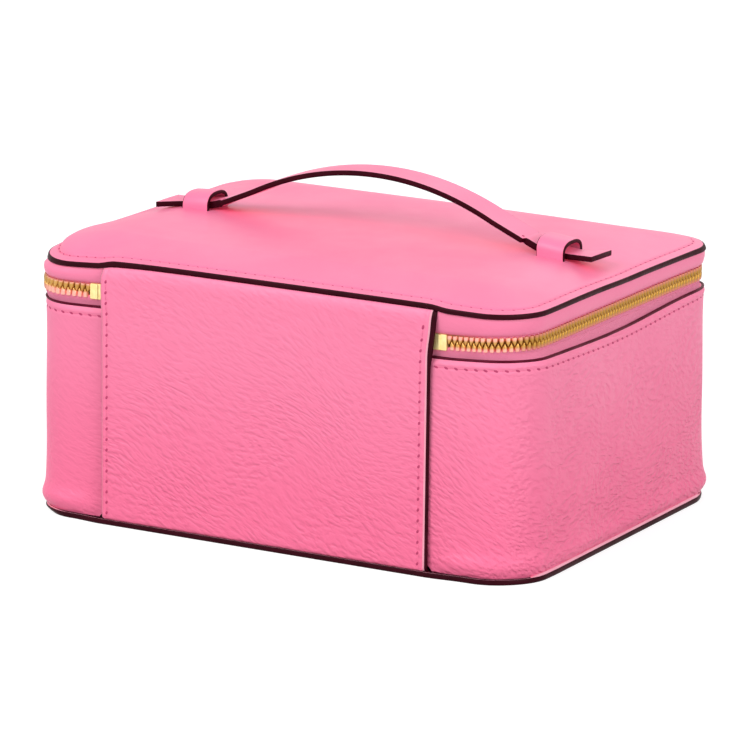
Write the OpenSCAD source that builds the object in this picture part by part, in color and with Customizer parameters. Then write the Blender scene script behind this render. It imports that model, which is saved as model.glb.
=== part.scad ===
// Makeup train case: stiff leather-covered body, padded hinged lid, brass zip on three sides,
// and a strap handle that slides in two leather keepers.
// The hinge side is +Y, the side that opens is -Y, and the base stands on Z = 0.

/* [Case] */
// Length over the lid's rim, along X
case_length = 200; // [180:1:260]
// Width over the lid's rim, along Y
case_width = 153.5; // [130:0.5:200]
// Height of the top of the body's leather wall above the floor
body_height = 79.5; // [60:0.5:120]
// Outer radius of the vertical corners, at the rim
corner_radius = 18; // [14:0.5:30]
// How far the leather walls stand back from the rim of the lid and of the base
wall_inset = 1.1; // [0.6:0.1:3]

/* [Sheet thicknesses] */
// Leather on the walls
leather_t = 1.4; // [1:0.1:2]
// Stiff board inside the walls, the lid and the base
board_t = 1.6; // [1:0.1:3]
// Cloth lining
lining_t = 0.6; // [0.4:0.1:1.2]
// Leather panel under the base, seen as its dark edge
base_panel_t = 2; // [1.4:0.1:3]
// Leather panel on the lid, seen as its dark edge
lid_panel_t = 1.8; // [1.4:0.1:3]
// Depth of the lacquer coat on a cut edge
lacquer_t = 0.5; // [0.3:0.1:0.8]
// Height of the lacquered bead along the top of the body's wall
bead_h = 1.5; // [0.8:0.1:2.5]

/* [Lid] */
// Height of the leather gusset between the zip and the lid's panel
gusset_h = 6.4; // [5:0.1:12]
// How far the padded top rises above the rim
dome_rise = 5.2; // [3.5:0.1:9]
// How far inside the rim the padded top becomes level
dome_margin = 24; // [20:1:40]
// Width of the panel's stitched border, outside the padding
border_w = 5; // [4:0.5:8]

/* [Zip] */
// Thickness of the zip's tape
tape_t = 0.6; // [0.4:0.1:0.8]
// Height of tape that shows between the body's wall and the teeth
tape_reveal = 2.6; // [2:0.1:5]
// How far each tape runs behind the leather
tape_tuck = 5; // [3:0.5:10]
// Distance from tooth to tooth along one row
tooth_pitch = 2.54; // [2:0.01:4]
// Length of a tooth along its row
tooth_w = 1.05; // [0.7:0.05:1.4]
// Height of a tooth, from its tape towards the other row
tooth_h = 2; // [1.5:0.1:3]
// Depth of a tooth through the tape
tooth_depth = 2.6; // [2:0.1:3.2]
// Space between the two rows, where a slider's post runs
row_gap = 1.2; // [0.8:0.1:2]
// Space between the upper teeth and the gusset's edge
gusset_gap = 0.3; // [0.2:0.1:1]
// Length of the stop at each end of the chain
stop_w = 4.7; // [3:0.1:7]
// How far each stop reaches in behind the hinge panel's edge
stop_tuck = 0.9; // [0:0.1:3]

/* [Sliders] */
// Length of a slider along the chain
slider_w = 11; // [9:0.5:14]
// Height of a slider across the chain
slider_h = 8.2; // [7:0.1:9]
// Thickness of a slider's outer plate
slider_face_t = 1.6; // [1.2:0.1:2.2]
// Thickness of a slider's inner plate
slider_back_t = 1; // [0.6:0.1:1.4]
// Space between the two sliders when the case is shut
slider_gap = 0.6; // [0.3:0.1:3]
// Clearance between a slider and the teeth, tape and walls beside it
slider_clear = 0.3; // [0.2:0.05:0.4]

/* [Pulls] */
// Radius of the wire bars of a pull's link
bar_r = 0.75; // [0.6:0.05:1]
// Radial clearance of a bar in its eye
bar_clear = 0.08; // [0.03:0.01:0.1]
// Distance between the two bars of a link
link_len = 9; // [8:0.5:14]
// Width over a link
link_w = 8; // [7:0.5:10]
// Width of a leather tab
tab_w = 9; // [7:0.5:10]
// Length of a leather tab below its eye
tab_len = 32; // [20:1:45]
// Thickness of a leather tab
tab_t = 2.6; // [2.2:0.1:3.4]

/* [Hinge panel] */
// Distance from the hinge panel's edge to the end of the case
hinge_margin = 33.3; // [30:0.1:45]
// How far the hinge panel stands out past the rim
hinge_proud = 1.9; // [1:0.1:3]
// Height over which the panel's ends curve in under the rim and the base
hinge_pinch = 4.5; // [3:0.5:6]
// Gap between pieces of leather that bend about the same line
fold_gap = 0.3; // [0.2:0.05:0.5]

/* [Handle] */
// Width of the strap
strap_w = 13; // [10:0.5:18]
// Width of the strap where it runs through the keepers
neck_w = 11.5; // [8:0.5:14]
// Width of the strap's flared tails
tail_w = 16; // [14:0.5:22]
// Thickness of the strap
strap_t = 2; // [1.6:0.1:2.4]
// Height of the grip's arch over its own ends
grip_rise = 12; // [8:0.5:16]
// Level length of the riser between the grip and a tail
riser_run = 16.5; // [14:0.5:20]
// Height that a riser climbs
riser_rise = 6.3; // [5:0.1:8]
// Height of a tail's inner end above the lid, at the middle of its thickness
tail_lift = 3; // [2.8:0.1:3.4]
// Level length of a tail, from its hinge line to its cut end
tail_run = 24; // [20:0.5:28]
// Angle at which a tail slopes down towards its cut end
tail_slope = 6; // [3:0.5:7]
// Length of the flared part of a tail
flare_len = 9; // [6:0.5:10]

/* [Keepers] */
// Distance from the end of the case to the middle of a keeper
keeper_inset = 27; // [25:0.5:32]
// Length of strap between a keeper and the hinge line of the strap's tail
neck_show = 2.35; // [2:0.05:4]
// Width of a keeper's band along X
keeper_w = 10.3; // [8:0.1:12]
// Thickness of a keeper's band
keeper_t = 1.2; // [0.9:0.1:1.4]
// Space on each side of the strap's neck inside a keeper
keeper_side = 1.75; // [1:0.05:3]
// Height of a keeper above the lid
keeper_h = 5.6; // [5.3:0.1:7]
// Outer radius of a keeper's shoulders
keeper_bend = 3; // [2:0.1:3.4]

/* [Hidden] */

$fn = 64;
pink = [0.97, 0.52, 0.66];
pink_dark = [0.86, 0.42, 0.57];
lacquer = [0.16, 0.05, 0.08];
brass = [0.83, 0.66, 0.32];
cloth = [0.93, 0.82, 0.84];
board = [0.62, 0.54, 0.45];
foam = [0.95, 0.94, 0.88];

// Depths behind the rim's outline, from the outside in
wall_in = wall_inset + leather_t;
tape_in = wall_in + tape_t;
board_in = tape_in + board_t;
lining_in = board_in + lining_t;
tape_mid = wall_in + tape_t / 2;
tooth_out = tape_mid - tooth_depth / 2;
tooth_in = tape_mid + tooth_depth / 2;

// Heights, from the floor up
floor_z = base_panel_t + board_t;
row_low = body_height + tape_reveal;
row_low_top = row_low + tooth_h;
hinge_z = row_low_top + row_gap / 2;
row_high = row_low_top + row_gap;
row_high_top = row_high + tooth_h;
gusset_z = row_high_top + gusset_gap;
lid_z = gusset_z + gusset_h;
rim_z = lid_z + lid_panel_t;
top_z = rim_z + dome_rise;
slider_low = hinge_z - slider_h / 2;
slider_high = hinge_z + slider_h / 2;
body_board_top = slider_low - slider_clear;
lid_board_low = slider_high + slider_clear;

// The hinge line of the lid runs along the outer face of the hinge panel
rim_y = case_width / 2;
rim_x = case_length / 2;
hinge_y = rim_y + hinge_proud;

// The sliders' plates and the bars of their pulls
slider_face_y = -rim_y + min(tooth_out, wall_inset) - slider_clear;
slider_back_y = -rim_y + tooth_in + slider_clear;
slider_x = (slider_gap + slider_w) / 2;
arm_t = 2 * bar_r + 0.2;
eye_r = bar_r + bar_clear;
lug_w = link_w - 2 * arm_t - 2 * slider_clear;
lug_h = 4 * bar_r + 0.4;
lug_reach = 3 * bar_r + 0.6;
link_y = slider_face_y - slider_face_t - lug_reach + 2 * bar_r;
tab_z = hinge_z - link_len;

// The hinge panel's width, and half the distance between the stops at its edges
hinge_w = case_length - 2 * hinge_margin;
stop_half = hinge_w / 2 - stop_tuck;

// Places along the strap
keeper_x = rim_x - keeper_inset;
tail_x = keeper_x - keeper_w / 2 - neck_show;
grip_half = tail_x - riser_run;
grip_radius = (grip_half * grip_half + grip_rise * grip_rise) / (2 * grip_rise);
grip_angle = asin(grip_half / grip_radius);
tail_z = top_z + tail_lift;
grip_end_z = tail_z + riser_rise;
grip_z = grip_end_z + grip_rise;
riser_len = sqrt(riser_run * riser_run + riser_rise * riser_rise);
riser_angle = atan(riser_rise / riser_run);
tail_len = tail_run / cos(tail_slope);
keeper_span = neck_w + 2 * keeper_side + 2 * keeper_t;

// The middle line of the chain, measured from the middle of the front
corner_x = rim_x - corner_radius;
corner_y = rim_y - corner_radius;
track_r = corner_radius - tape_mid;
track_arc = track_r * PI / 2;
front_end = corner_x;
side_start = front_end + track_arc;
side_end = side_start + 2 * corner_y;
back_start = side_end + track_arc;
chain_end = back_start + corner_x - stop_half - stop_w;
tooth_count = floor((chain_end - tooth_w / 2) / tooth_pitch - 0.5) + 1;

// ---- Building blocks ----

// Sweeps a section round the case. Its points are [depth behind the rim, height].
module around(section) {
    profile = [for (p = section) [corner_radius - p[0], p[1]]];
    for (turn = [0:3]) {
        along = turn % 2 == 0 ? corner_x : corner_y;
        across = turn % 2 == 0 ? corner_y : corner_x;
        rotate([0, 0, 90 * turn])
            translate([along, across, 0]) {
                rotate_extrude(angle = 90) polygon(profile);
                rotate([90, 0, 0]) linear_extrude(2 * across) polygon(profile);
            }
    }
}

// An upright band round the case, between two depths and two heights
module band(outside, inside, low, high) {
    around([[outside, low], [inside, low], [inside, high], [outside, high]]);
}

// A level sheet that fills the outline at one depth
module sheet(depth, low, high) {
    band(depth, corner_radius, low, high);
    translate([-corner_x, -corner_y, low]) cube([2 * corner_x, 2 * corner_y, high - low]);
}

// Radius of the corners at a depth inside the rim
function bend(depth) =
    depth <= border_w ? corner_radius - depth :
    (corner_radius - border_w) * (1 - 0.75 * (depth - border_w) / (dome_margin - border_w));

// Points round the case at one depth and height
function ring(depth, z, steps = 6) = [
    for (turn = [0:3], i = [0:steps])
        let (
            a = 90 * turn + 90 * i / steps,
            x = (turn == 0 || turn == 3 ? 1 : -1) * (rim_x - depth - bend(depth)),
            y = (turn < 2 ? 1 : -1) * (rim_y - depth - bend(depth))
        )
        [x + bend(depth) * cos(a), y + bend(depth) * sin(a), z]
];

// Height of the padded top above the rim, at a depth inside it
function swell(depth) = dome_rise * (1 - pow(1 - depth / dome_margin, 1.35));

// Rings over the padded top, lowered by a thickness, from a depth inward
function dome(depth, drop, steps = 4) = [
    for (i = [0:steps])
        let (inward = depth + (dome_margin - depth) * i / steps)
        ring(inward, rim_z - drop + swell(inward))
];

// A closed skin over a row of rings, with the first and the last ring filled in
module loft(rings) {
    n = len(rings[0]);
    points = [for (r = rings, p = r) p];
    sides = [
        for (k = [0:len(rings) - 2], i = [0:n - 1])
            [k * n + i, (k + 1) * n + i, (k + 1) * n + (i + 1) % n, k * n + (i + 1) % n]
    ];
    first = [for (i = [0:n - 1]) i];
    last = [for (i = [n - 1:-1:0]) (len(rings) - 1) * n + i];
    polyhedron(points, concat([first], sides, [last]), convexity = 4);
}

// What lies beyond a distance from the middle on the hinge side
module hinge_side(half) {
    translate([-half, 0, 0]) cube([2 * half, case_width, top_z]);
}

// Points on an arc
function arc(centre, r, from, to, steps = 8) =
    [for (i = [0:steps]) let (a = from + (to - from) * i / steps)
        [centre[0] + r * cos(a), centre[1] + r * sin(a)]];

// Extrudes an outline drawn in the X-Z plane, centred on Y
module upright(width) {
    rotate([90, 0, 0]) linear_extrude(width, center = true) children();
}

// ---- Base and body ----

module base_panel() {
    color(pink_dark) sheet(lacquer_t, 0, base_panel_t);
}

module base_edge_lacquer() {
    color(lacquer) band(0, lacquer_t, 0, base_panel_t);
}

module base_board() {
    color(board) sheet(wall_in, base_panel_t, floor_z);
}

module base_lining() {
    color(cloth) sheet(board_in, floor_z, floor_z + lining_t);
}

module body_wall() {
    color(pink) band(wall_inset, wall_in, base_panel_t, body_height - bead_h);
}

module body_edge_lacquer() {
    color(lacquer) band(wall_inset, wall_in, body_height - bead_h, body_height);
}

// The board is thinned behind the zip's tape
module body_wall_board() {
    tuck = body_height - tape_tuck;
    color(board) around([
        [wall_in, floor_z], [board_in, floor_z], [board_in, body_board_top],
        [tape_in, body_board_top], [tape_in, tuck], [wall_in, tuck],
    ]);
}

module body_wall_lining() {
    color(cloth) band(board_in, lining_in, floor_z + lining_t, body_board_top);
}

// Half of the hinge panel, from its pinched end to the fold
module hinge_half(end_z, fold_z) {
    pinch_z = end_z + sign(fold_z - end_z) * hinge_pinch;
    translate([-hinge_w / 2, 0, 0])
        rotate([90, 0, 90])
            linear_extrude(hinge_w)
                polygon([
                    [rim_y - wall_inset, end_z], [rim_y, end_z], [hinge_y, pinch_z],
                    [hinge_y, fold_z], [rim_y - wall_inset, fold_z],
                ]);
}

module hinge_panel_body() {
    color(pink) hinge_half(base_panel_t, hinge_z - fold_gap / 2);
}

// ---- Zip ----

// A tape, open behind the hinge panel and at the two stops
module tape(low, high) {
    color(pink_dark)
        difference() {
            band(wall_in, tape_in, low, high);
            hinge_side(stop_half + stop_w);
        }
}

// Place and heading of the chain's middle line at a distance from the middle of the front
function chain(s) =
    s < front_end ? [s, -rim_y + tape_mid, 0] :
    s < side_start ? corner_place(-corner_y, (s - front_end) / track_r * 180 / PI - 90) :
    s < side_end ? [rim_x - tape_mid, s - side_start - corner_y, 90] :
    s < back_start ? corner_place(corner_y, (s - side_end) / track_r * 180 / PI) :
    [corner_x - (s - back_start), rim_y - tape_mid, 180];

function corner_place(y, a) = [corner_x + track_r * cos(a), y + track_r * sin(a), a + 90];

// One row of teeth on each side of the middle of the front
module teeth(low) {
    color(brass)
        for (side = [-1, 1], i = [0:tooth_count - 1]) {
            place = chain((i + 0.5) * tooth_pitch);
            translate([side * place[0], place[1], low])
                rotate([0, 0, side * place[2]])
                    translate([-tooth_w / 2, -tooth_depth / 2, 0])
                        cube([tooth_w, tooth_depth, tooth_h]);
        }
}

module zip_stop(side) {
    low = row_low - slider_clear;
    high = row_high_top;
    color(brass)
        translate([side * (stop_half + stop_w / 2), rim_y - tape_mid, (low + high) / 2])
            cube([stop_w, tooth_depth, high - low], center = true);
}

module zip_tape_body() { tape(body_height - tape_tuck, row_low); }
module zip_teeth_body() { teeth(row_low); }
module zip_stop_left() { zip_stop(-1); }
module zip_stop_right() { zip_stop(1); }
module zip_tape_lid() { tape(row_high_top, min(gusset_z + tape_tuck, lid_z - board_t)); }
module zip_teeth_lid() { teeth(row_high); }

// ---- Lid ----

module lid_top_panel() {
    under = dome(border_w, leather_t);
    over = dome(lacquer_t, 0);
    color(pink)
        loft(concat(
            [for (i = [len(under) - 1:-1:0]) under[i]],
            [ring(border_w, lid_z), ring(lacquer_t, lid_z)],
            over
        ));
}

module lid_edge_lacquer() {
    color(lacquer) band(0, lacquer_t, lid_z, rim_z);
}

module lid_foam_pad() {
    color(foam) loft(concat([ring(border_w, lid_z)], dome(border_w, leather_t)));
}

module lid_board() {
    color(board) sheet(wall_in, lid_z - board_t, lid_z);
}

module lid_gusset() {
    color(pink) band(wall_inset, wall_in, gusset_z, lid_z);
}

// The board is thinned behind the zip's tape
module lid_wall_board() {
    tuck = gusset_z + tape_tuck;
    top = lid_z - board_t;
    color(board)
        if (tuck < top)
            around([
                [tape_in, lid_board_low], [board_in, lid_board_low], [board_in, top],
                [wall_in, top], [wall_in, tuck], [tape_in, tuck],
            ]);
        else
            band(tape_in, board_in, lid_board_low, top);
}

module lid_lining() {
    top = lid_z - board_t;
    color(cloth) {
        band(board_in, lining_in, lid_board_low, top - lining_t);
        sheet(board_in, top - lining_t, top);
    }
}

module hinge_panel_lid() {
    color(pink) hinge_half(lid_z, hinge_z + fold_gap / 2);
}

// ---- Keepers ----

// A leather loop over the strap's neck, with rounded shoulders
module keeper(side) {
    half = keeper_span / 2;
    inner_bend = keeper_bend - keeper_t;
    shoulder = [half - keeper_bend, keeper_h - keeper_bend];
    right_out = concat([[half, 0]], arc(shoulder, keeper_bend, 0, 90));
    right_in = concat(arc(shoulder, inner_bend, 90, 0), [[half - keeper_t, 0]]);
    left_out = [for (i = [len(right_out) - 1:-1:0]) [-right_out[i][0], right_out[i][1]]];
    left_in = [for (i = [len(right_in) - 1:-1:0]) [-right_in[i][0], right_in[i][1]]];
    color(pink)
        translate([side * keeper_x, 0, top_z])
            rotate([0, 0, 90])
                upright(keeper_w)
                    polygon(concat(right_out, left_out, left_in, right_in));
}

module keeper_left() { keeper(-1); }
module keeper_right() { keeper(1); }

// ---- Sliders and pulls ----

// A slider's plate, seen along Y: wide at the shoulders and narrower at the two ends
module slider_plate(y, thickness) {
    half = slider_w / 2;
    nose = 0.3 * slider_h;
    shoulder_x = 0.23 * slider_w;
    translate([0, y + thickness / 2, 0])
        upright(thickness)
            polygon([
                [-half, -nose], [shoulder_x - half, -slider_h / 2], [half, -0.72 * slider_h / 2],
                [half, 0.72 * slider_h / 2], [shoulder_x - half, slider_h / 2], [-half, nose],
            ]);
}

// A slider with its post towards the middle of the front; side mirrors it
module zip_slider(side) {
    post_t = row_gap - 0.3;
    post_w = 0.25 * slider_w;
    lip_h = row_low - slider_clear - slider_low;
    lip_w = slider_w / 2;
    lip_x = 0.2 * slider_w - slider_w / 2;
    face_lip = wall_in - min(tooth_out, wall_inset);
    back_lip = tooth_in - tape_in;
    color(brass)
        mirror([side < 0 ? 1 : 0, 0, 0])
            translate([slider_x, 0, hinge_z]) {
                difference() {
                    union() {
                        slider_plate(slider_face_y - slider_face_t, slider_face_t);
                        translate([-lug_w / 2, slider_face_y - slider_face_t - lug_reach, -lug_h / 2])
                            cube([lug_w, lug_reach + slider_face_t / 2, lug_h]);
                        translate([-slider_w / 2, slider_face_y - slider_face_t / 2, -post_t / 2])
                            cube([post_w, slider_back_y - slider_face_y + slider_face_t, post_t]);
                        slider_plate(slider_back_y, slider_back_t);
                        translate([lip_x, slider_face_y - slider_face_t / 2, -slider_h / 2])
                            cube([lip_w, slider_face_t / 2 + face_lip, lip_h]);
                        translate([lip_x, slider_back_y - back_lip, -slider_h / 2])
                            cube([lip_w, back_lip + slider_back_t / 2, lip_h]);
                    }
                    translate([0, link_y, 0])
                        rotate([0, 90, 0]) cylinder(r = eye_r, h = slider_w, center = true);
                }
            }
}

module pull_bar(z) {
    translate([0, link_y, z])
        rotate([0, 90, 0]) cylinder(r = bar_r, h = link_w - arm_t, center = true);
}

module pull_link(side) {
    color(brass)
        translate([side * slider_x, 0, 0]) {
            pull_bar(hinge_z);
            pull_bar(tab_z);
            for (x = [-1, 1])
                translate([x * (link_w - arm_t) / 2, link_y, (hinge_z + tab_z) / 2])
                    cube([arm_t, arm_t, link_len + arm_t], center = true);
        }
}

module pull_tab(side) {
    neck = link_w - 2 * arm_t - 2 * slider_clear;
    shoulder = arm_t + 1.4;
    round_r = 2.2;
    outline = concat(
        [[-neck / 2, 0], [-neck / 2, -shoulder], [-tab_w / 2, -shoulder - 1.5]],
        arc([round_r - tab_w / 2, round_r - tab_len - shoulder], round_r, 180, 270),
        arc([tab_w / 2 - round_r, round_r - tab_len - shoulder], round_r, 270, 360),
        [[tab_w / 2, -shoulder - 1.5], [neck / 2, -shoulder], [neck / 2, 0]]
    );
    color(pink)
        translate([side * slider_x, link_y, tab_z])
            difference() {
                union() {
                    rotate([0, 90, 0]) cylinder(r = tab_t / 2, h = neck, center = true);
                    upright(tab_t - 0.4) polygon(outline);
                }
                rotate([0, 90, 0]) cylinder(r = eye_r, h = 2 * tab_w, center = true);
            }
}

module zip_slider_left() { zip_slider(-1); }
module zip_slider_right() { zip_slider(1); }
module pull_link_left() { pull_link(-1); }
module pull_link_right() { pull_link(1); }
module pull_tab_left() { pull_tab(-1); }
module pull_tab_right() { pull_tab(1); }

// ---- Strap handle ----

// The round hollow at an end of a strap piece that lets its neighbour's round end turn
module strap_hollow(x, z) {
    translate([x, 0, z])
        rotate([90, 0, 0])
            cylinder(r = strap_t / 2 + fold_gap, h = 2 * strap_w, center = true);
}

module strap_grip() {
    centre = [0, grip_z - grip_radius];
    steps = 24;
    color(pink)
        difference() {
            upright(strap_w)
                polygon(concat(
                    arc(centre, grip_radius + strap_t / 2, 90 - grip_angle, 90 + grip_angle, steps),
                    arc(centre, grip_radius - strap_t / 2, 90 + grip_angle, 90 - grip_angle, steps)
                ));
            for (side = [-1, 1])
                strap_hollow(side * grip_half, grip_end_z);
        }
}

// A riser from its hinge line on the tail, at the origin, up to the grip; it narrows to the neck
module strap_riser(side) {
    shoulder = 3.2;
    color(pink)
        mirror([side < 0 ? 1 : 0, 0, 0])
            translate([tail_x, 0, tail_z])
                rotate([0, riser_angle, 0])
                    intersection() {
                        upright(strap_w)
                            polygon(concat(
                                arc([0, 0], strap_t / 2, 90, -90),
                                arc([-riser_len, 0], strap_t / 2, 270, 90)
                            ));
                        linear_extrude(2 * strap_t, center = true)
                            polygon([
                                [strap_t, neck_w / 2], [strap_t, -neck_w / 2],
                                [-shoulder, -neck_w / 2], [-shoulder, -strap_w / 2],
                                [-riser_len - strap_t, -strap_w / 2],
                                [-riser_len - strap_t, strap_w / 2],
                                [-shoulder, strap_w / 2], [-shoulder, neck_w / 2],
                            ]);
                    }
}

// A tail runs down through its keeper and flares beyond it
module strap_tail(side) {
    flare = tail_len - flare_len;
    color(pink)
        mirror([side < 0 ? 1 : 0, 0, 0])
            translate([tail_x, 0, tail_z])
                difference() {
                    rotate([0, tail_slope, 0])
                        linear_extrude(strap_t, center = true)
                            polygon([
                                [0, -neck_w / 2], [flare, -neck_w / 2], [tail_len, -tail_w / 2],
                                [tail_len, tail_w / 2], [flare, neck_w / 2], [0, neck_w / 2],
                            ]);
                    strap_hollow(0, 0);
                }
}

module strap_tail_left() { strap_tail(-1); }
module strap_tail_right() { strap_tail(1); }
module strap_riser_left() { strap_riser(-1); }
module strap_riser_right() { strap_riser(1); }

base_panel();
base_edge_lacquer();
base_board();
base_lining();
body_wall();
body_edge_lacquer();
body_wall_board();
body_wall_lining();
hinge_panel_body();
zip_tape_body();
zip_teeth_body();
zip_stop_left();
zip_stop_right();
lid_top_panel();
lid_edge_lacquer();
lid_foam_pad();
lid_board();
lid_gusset();
lid_wall_board();
lid_lining();
hinge_panel_lid();
zip_tape_lid();
zip_teeth_lid();
keeper_left();
keeper_right();
zip_slider_left();
zip_slider_right();
pull_link_left();
pull_link_right();
pull_tab_left();
pull_tab_right();
strap_tail_left();
strap_riser_left();
strap_grip();
strap_riser_right();
strap_tail_right();
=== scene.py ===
"""A makeup train case: pink embossed leather over stiff board, a padded lid, a brass zip on three sides,
and a flat strap handle held by two leather keepers. All shapes are worked out in millimetres."""
import math
import random

import bmesh
import bpy
import numpy as np
from mathutils import Matrix, Vector


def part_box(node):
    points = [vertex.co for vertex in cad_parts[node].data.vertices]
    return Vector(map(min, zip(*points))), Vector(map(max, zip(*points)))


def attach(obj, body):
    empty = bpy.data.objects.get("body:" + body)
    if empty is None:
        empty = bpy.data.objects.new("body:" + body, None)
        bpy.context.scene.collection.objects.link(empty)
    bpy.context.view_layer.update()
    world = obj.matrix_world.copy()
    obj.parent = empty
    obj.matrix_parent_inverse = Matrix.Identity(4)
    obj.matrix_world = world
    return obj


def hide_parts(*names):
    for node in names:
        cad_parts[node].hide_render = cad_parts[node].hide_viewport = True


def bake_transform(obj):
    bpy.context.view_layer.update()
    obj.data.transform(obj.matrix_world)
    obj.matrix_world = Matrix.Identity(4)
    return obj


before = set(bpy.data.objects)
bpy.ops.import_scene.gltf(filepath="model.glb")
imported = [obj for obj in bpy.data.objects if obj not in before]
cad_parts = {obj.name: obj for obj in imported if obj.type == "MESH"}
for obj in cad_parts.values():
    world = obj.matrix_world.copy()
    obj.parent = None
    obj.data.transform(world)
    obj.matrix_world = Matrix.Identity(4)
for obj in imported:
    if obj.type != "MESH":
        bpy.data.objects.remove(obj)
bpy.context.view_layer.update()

MM = 0.001
QUARTER = math.pi / 2
SIDES = (("left", -1), ("right", 1))


# ---- Sizes, from the frame ----

def box_mm(node):
    """A frame node's lowest and highest corners, in millimetres."""
    low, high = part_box(node)
    return np.array(low) / MM, np.array(high) / MM


RIM_LOW, RIM_HIGH = box_mm("lid_edge_lacquer")
WALL_LOW, WALL_HIGH = box_mm("body_wall")
BEAD_TOP = box_mm("body_edge_lacquer")[1][2]
BASE_LOW, BASE_HIGH = box_mm("base_edge_lacquer")
GUSSET_LOW, GUSSET_HIGH = box_mm("lid_gusset")
TOP_Z = box_mm("lid_top_panel")[1][2]
PANEL_LOW, PANEL_HIGH = box_mm("hinge_panel_body")
TEETH_FOOT = box_mm("zip_teeth_body")[0][2]
TEETH_HEAD = box_mm("zip_teeth_lid")[1][2]
TAPE_FOOT = box_mm("zip_tape_body")[0][2]
TAPE_HEAD = box_mm("zip_tape_lid")[1][2]
STOP_LOW, STOP_HIGH = box_mm("zip_stop_right")
LINING_HIGH = box_mm("body_wall_lining")[1]
LID_LINING_LOW, LID_LINING_HIGH = box_mm("lid_lining")
KEEPER_LOW, KEEPER_HIGH = box_mm("keeper_right")
SLIDER_LOW, SLIDER_HIGH = box_mm("zip_slider_right")
LINK_LOW, LINK_HIGH = box_mm("pull_link_right")
TAB_LOW, TAB_HIGH = box_mm("pull_tab_right")
GRIP_LOW, GRIP_HIGH = box_mm("strap_grip")
TAIL_LOW, TAIL_HIGH = box_mm("strap_tail_right")

RIM_X, RIM_Y = RIM_HIGH[:2]
CORNER = 18.0
WALL_INSET = RIM_X - WALL_HIGH[0]
LEATHER_T = 1.4
TAPE_T = 0.6
WALL_IN = WALL_INSET + LEATHER_T
LINING_OUT = RIM_X - LINING_HIGH[0]
LINING_T = 0.6
TOOTH_MID = WALL_IN + TAPE_T / 2
BORDER_W = 5.0
DOME_MARGIN = 24.0
DOME_RISE = TOP_Z - RIM_HIGH[2]
PANEL_SHIFT = 2.0
PANEL_HALF = PANEL_HIGH[0] - 1.0
PANEL_OUT = PANEL_HIGH[1]
PANEL_IN = PANEL_LOW[1]
PINCH = 4.5
SHARP_ANGLE = 38
STITCH_SHARP_ANGLE = 60
FOOT_ROUND = 1.6
PRESSED = 30.0
HINGE_Z = PANEL_HIGH[2] + 0.15
STITCH_PITCH = 3.85
TOOTH_PITCH = 2.14
STRAP_T = 2.0
STRAP_SHIFT = -1.1


# ---- Curves ----

def ease(t):
    """Goes smoothly from 0 to 1."""
    t = np.clip(t, 0, 1)
    return t * t * (3 - 2 * t)


def rise(value, start, end):
    """Goes smoothly from 0 at the start to 1 at the end, which may lie below the start."""
    return ease((value - start) / (end - start))


def ridge(value, centre, reach):
    """1 at the centre, and fading over the reach to both sides."""
    return np.exp(-((value - centre) / reach) ** 2)


def hill(x, y, centre_x, centre_y, reach):
    """1 at the centre, and fading over the reach all round."""
    return np.exp(-((x - centre_x) ** 2 + (y - centre_y) ** 2) / reach ** 2)


def unit(vectors):
    vectors = np.asarray(vectors, float)
    return vectors / np.linalg.norm(vectors, axis=-1, keepdims=True)


def circle(steps):
    turn = np.linspace(0, 2 * math.pi, steps, endpoint=False)
    return np.c_[np.cos(turn), np.sin(turn)]


def run_along(line):
    """The distance along a line at each of its points."""
    return np.concatenate([[0], np.cumsum(np.linalg.norm(np.diff(line, axis=0), axis=1))])


def spots_at(marks, runs, line):
    """The places on a line at some distances along it."""
    return np.stack([np.interp(marks, runs, column) for column in line.T], 1)


# ---- Mesh building ----

EDGE_STEPS = 4
EYE_STEPS = 32
EYE_EDGE = 0.25
# How far the soft case stands off its true shape in places.
PRESSED_IN = 0.707 * 2.6
ZIP_BULGE = 2.0
RIM_LIP = 0.9
CORNER_DROOP = 0.9
PANEL_DROOP = 1.4
SIDE_DROOP = 2.0
CORNER_PUFF = 2.9
TAIL_PUFF = 0.5


def leaned_on(points):
    """Presses one corner of the case rounder, lets the next one droop, and lets the zip bulge at two."""
    points = np.array(points, float)
    x, y, z = points.T
    near_a, near_b = hill(x, y, -RIM_X, -RIM_Y, 22), hill(x, y, RIM_X, RIM_Y, 24)
    bulge_a = near_a * rise(x, -80, -92) * rise(z, 76, 80) * rise(z, 96, 92)
    bulge_b = ZIP_BULGE * rise(z, 77, 81) * rise(z, 95, 89) * (1 - 0.35 * rise(z, 86.5, 88.5))
    bulge_b = near_b * (bulge_b - 1.1 * rise(z, 91.2, 92.4))
    lip = RIM_LIP * near_b * rise(x, 84, 92) * rise(z, 95.7, 96.5)
    near_x = np.clip((-x - RIM_X + PRESSED) / PRESSED, 0, 1)
    near_y = np.clip((y - RIM_Y + PRESSED) / PRESSED, 0, 1)
    inward = PRESSED_IN * (near_x * near_y) ** 2
    at_corner = CORNER_DROOP * hill(x, y, 86, RIM_Y, 24) * rise(z, 45, 75)
    beside_panel = PANEL_DROOP * ridge(x, -64, 20) * rise(y, 50, 70) * rise(z, 60, 74) * rise(z, 92.5, 87.5)
    short_side = SIDE_DROOP * ridge(y, 2, 46) * rise(x, -82, -94) * rise(z, 50, 74) * rise(z, 81.9, 80.7)
    puff = CORNER_PUFF * hill(x, y, 99, 56, 27) * rise(z, 94.9, 96.9)
    puff = puff + TAIL_PUFF * ridge(np.abs(x), 70, 20) * ridge(y, 0, 26) * rise(z, 98, 100)
    return np.c_[
        x + inward - bulge_a + bulge_b + lip,
        y - inward - bulge_a + bulge_b * 0.6,
        z - at_corner - beside_panel - short_side + puff,
    ]


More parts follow.
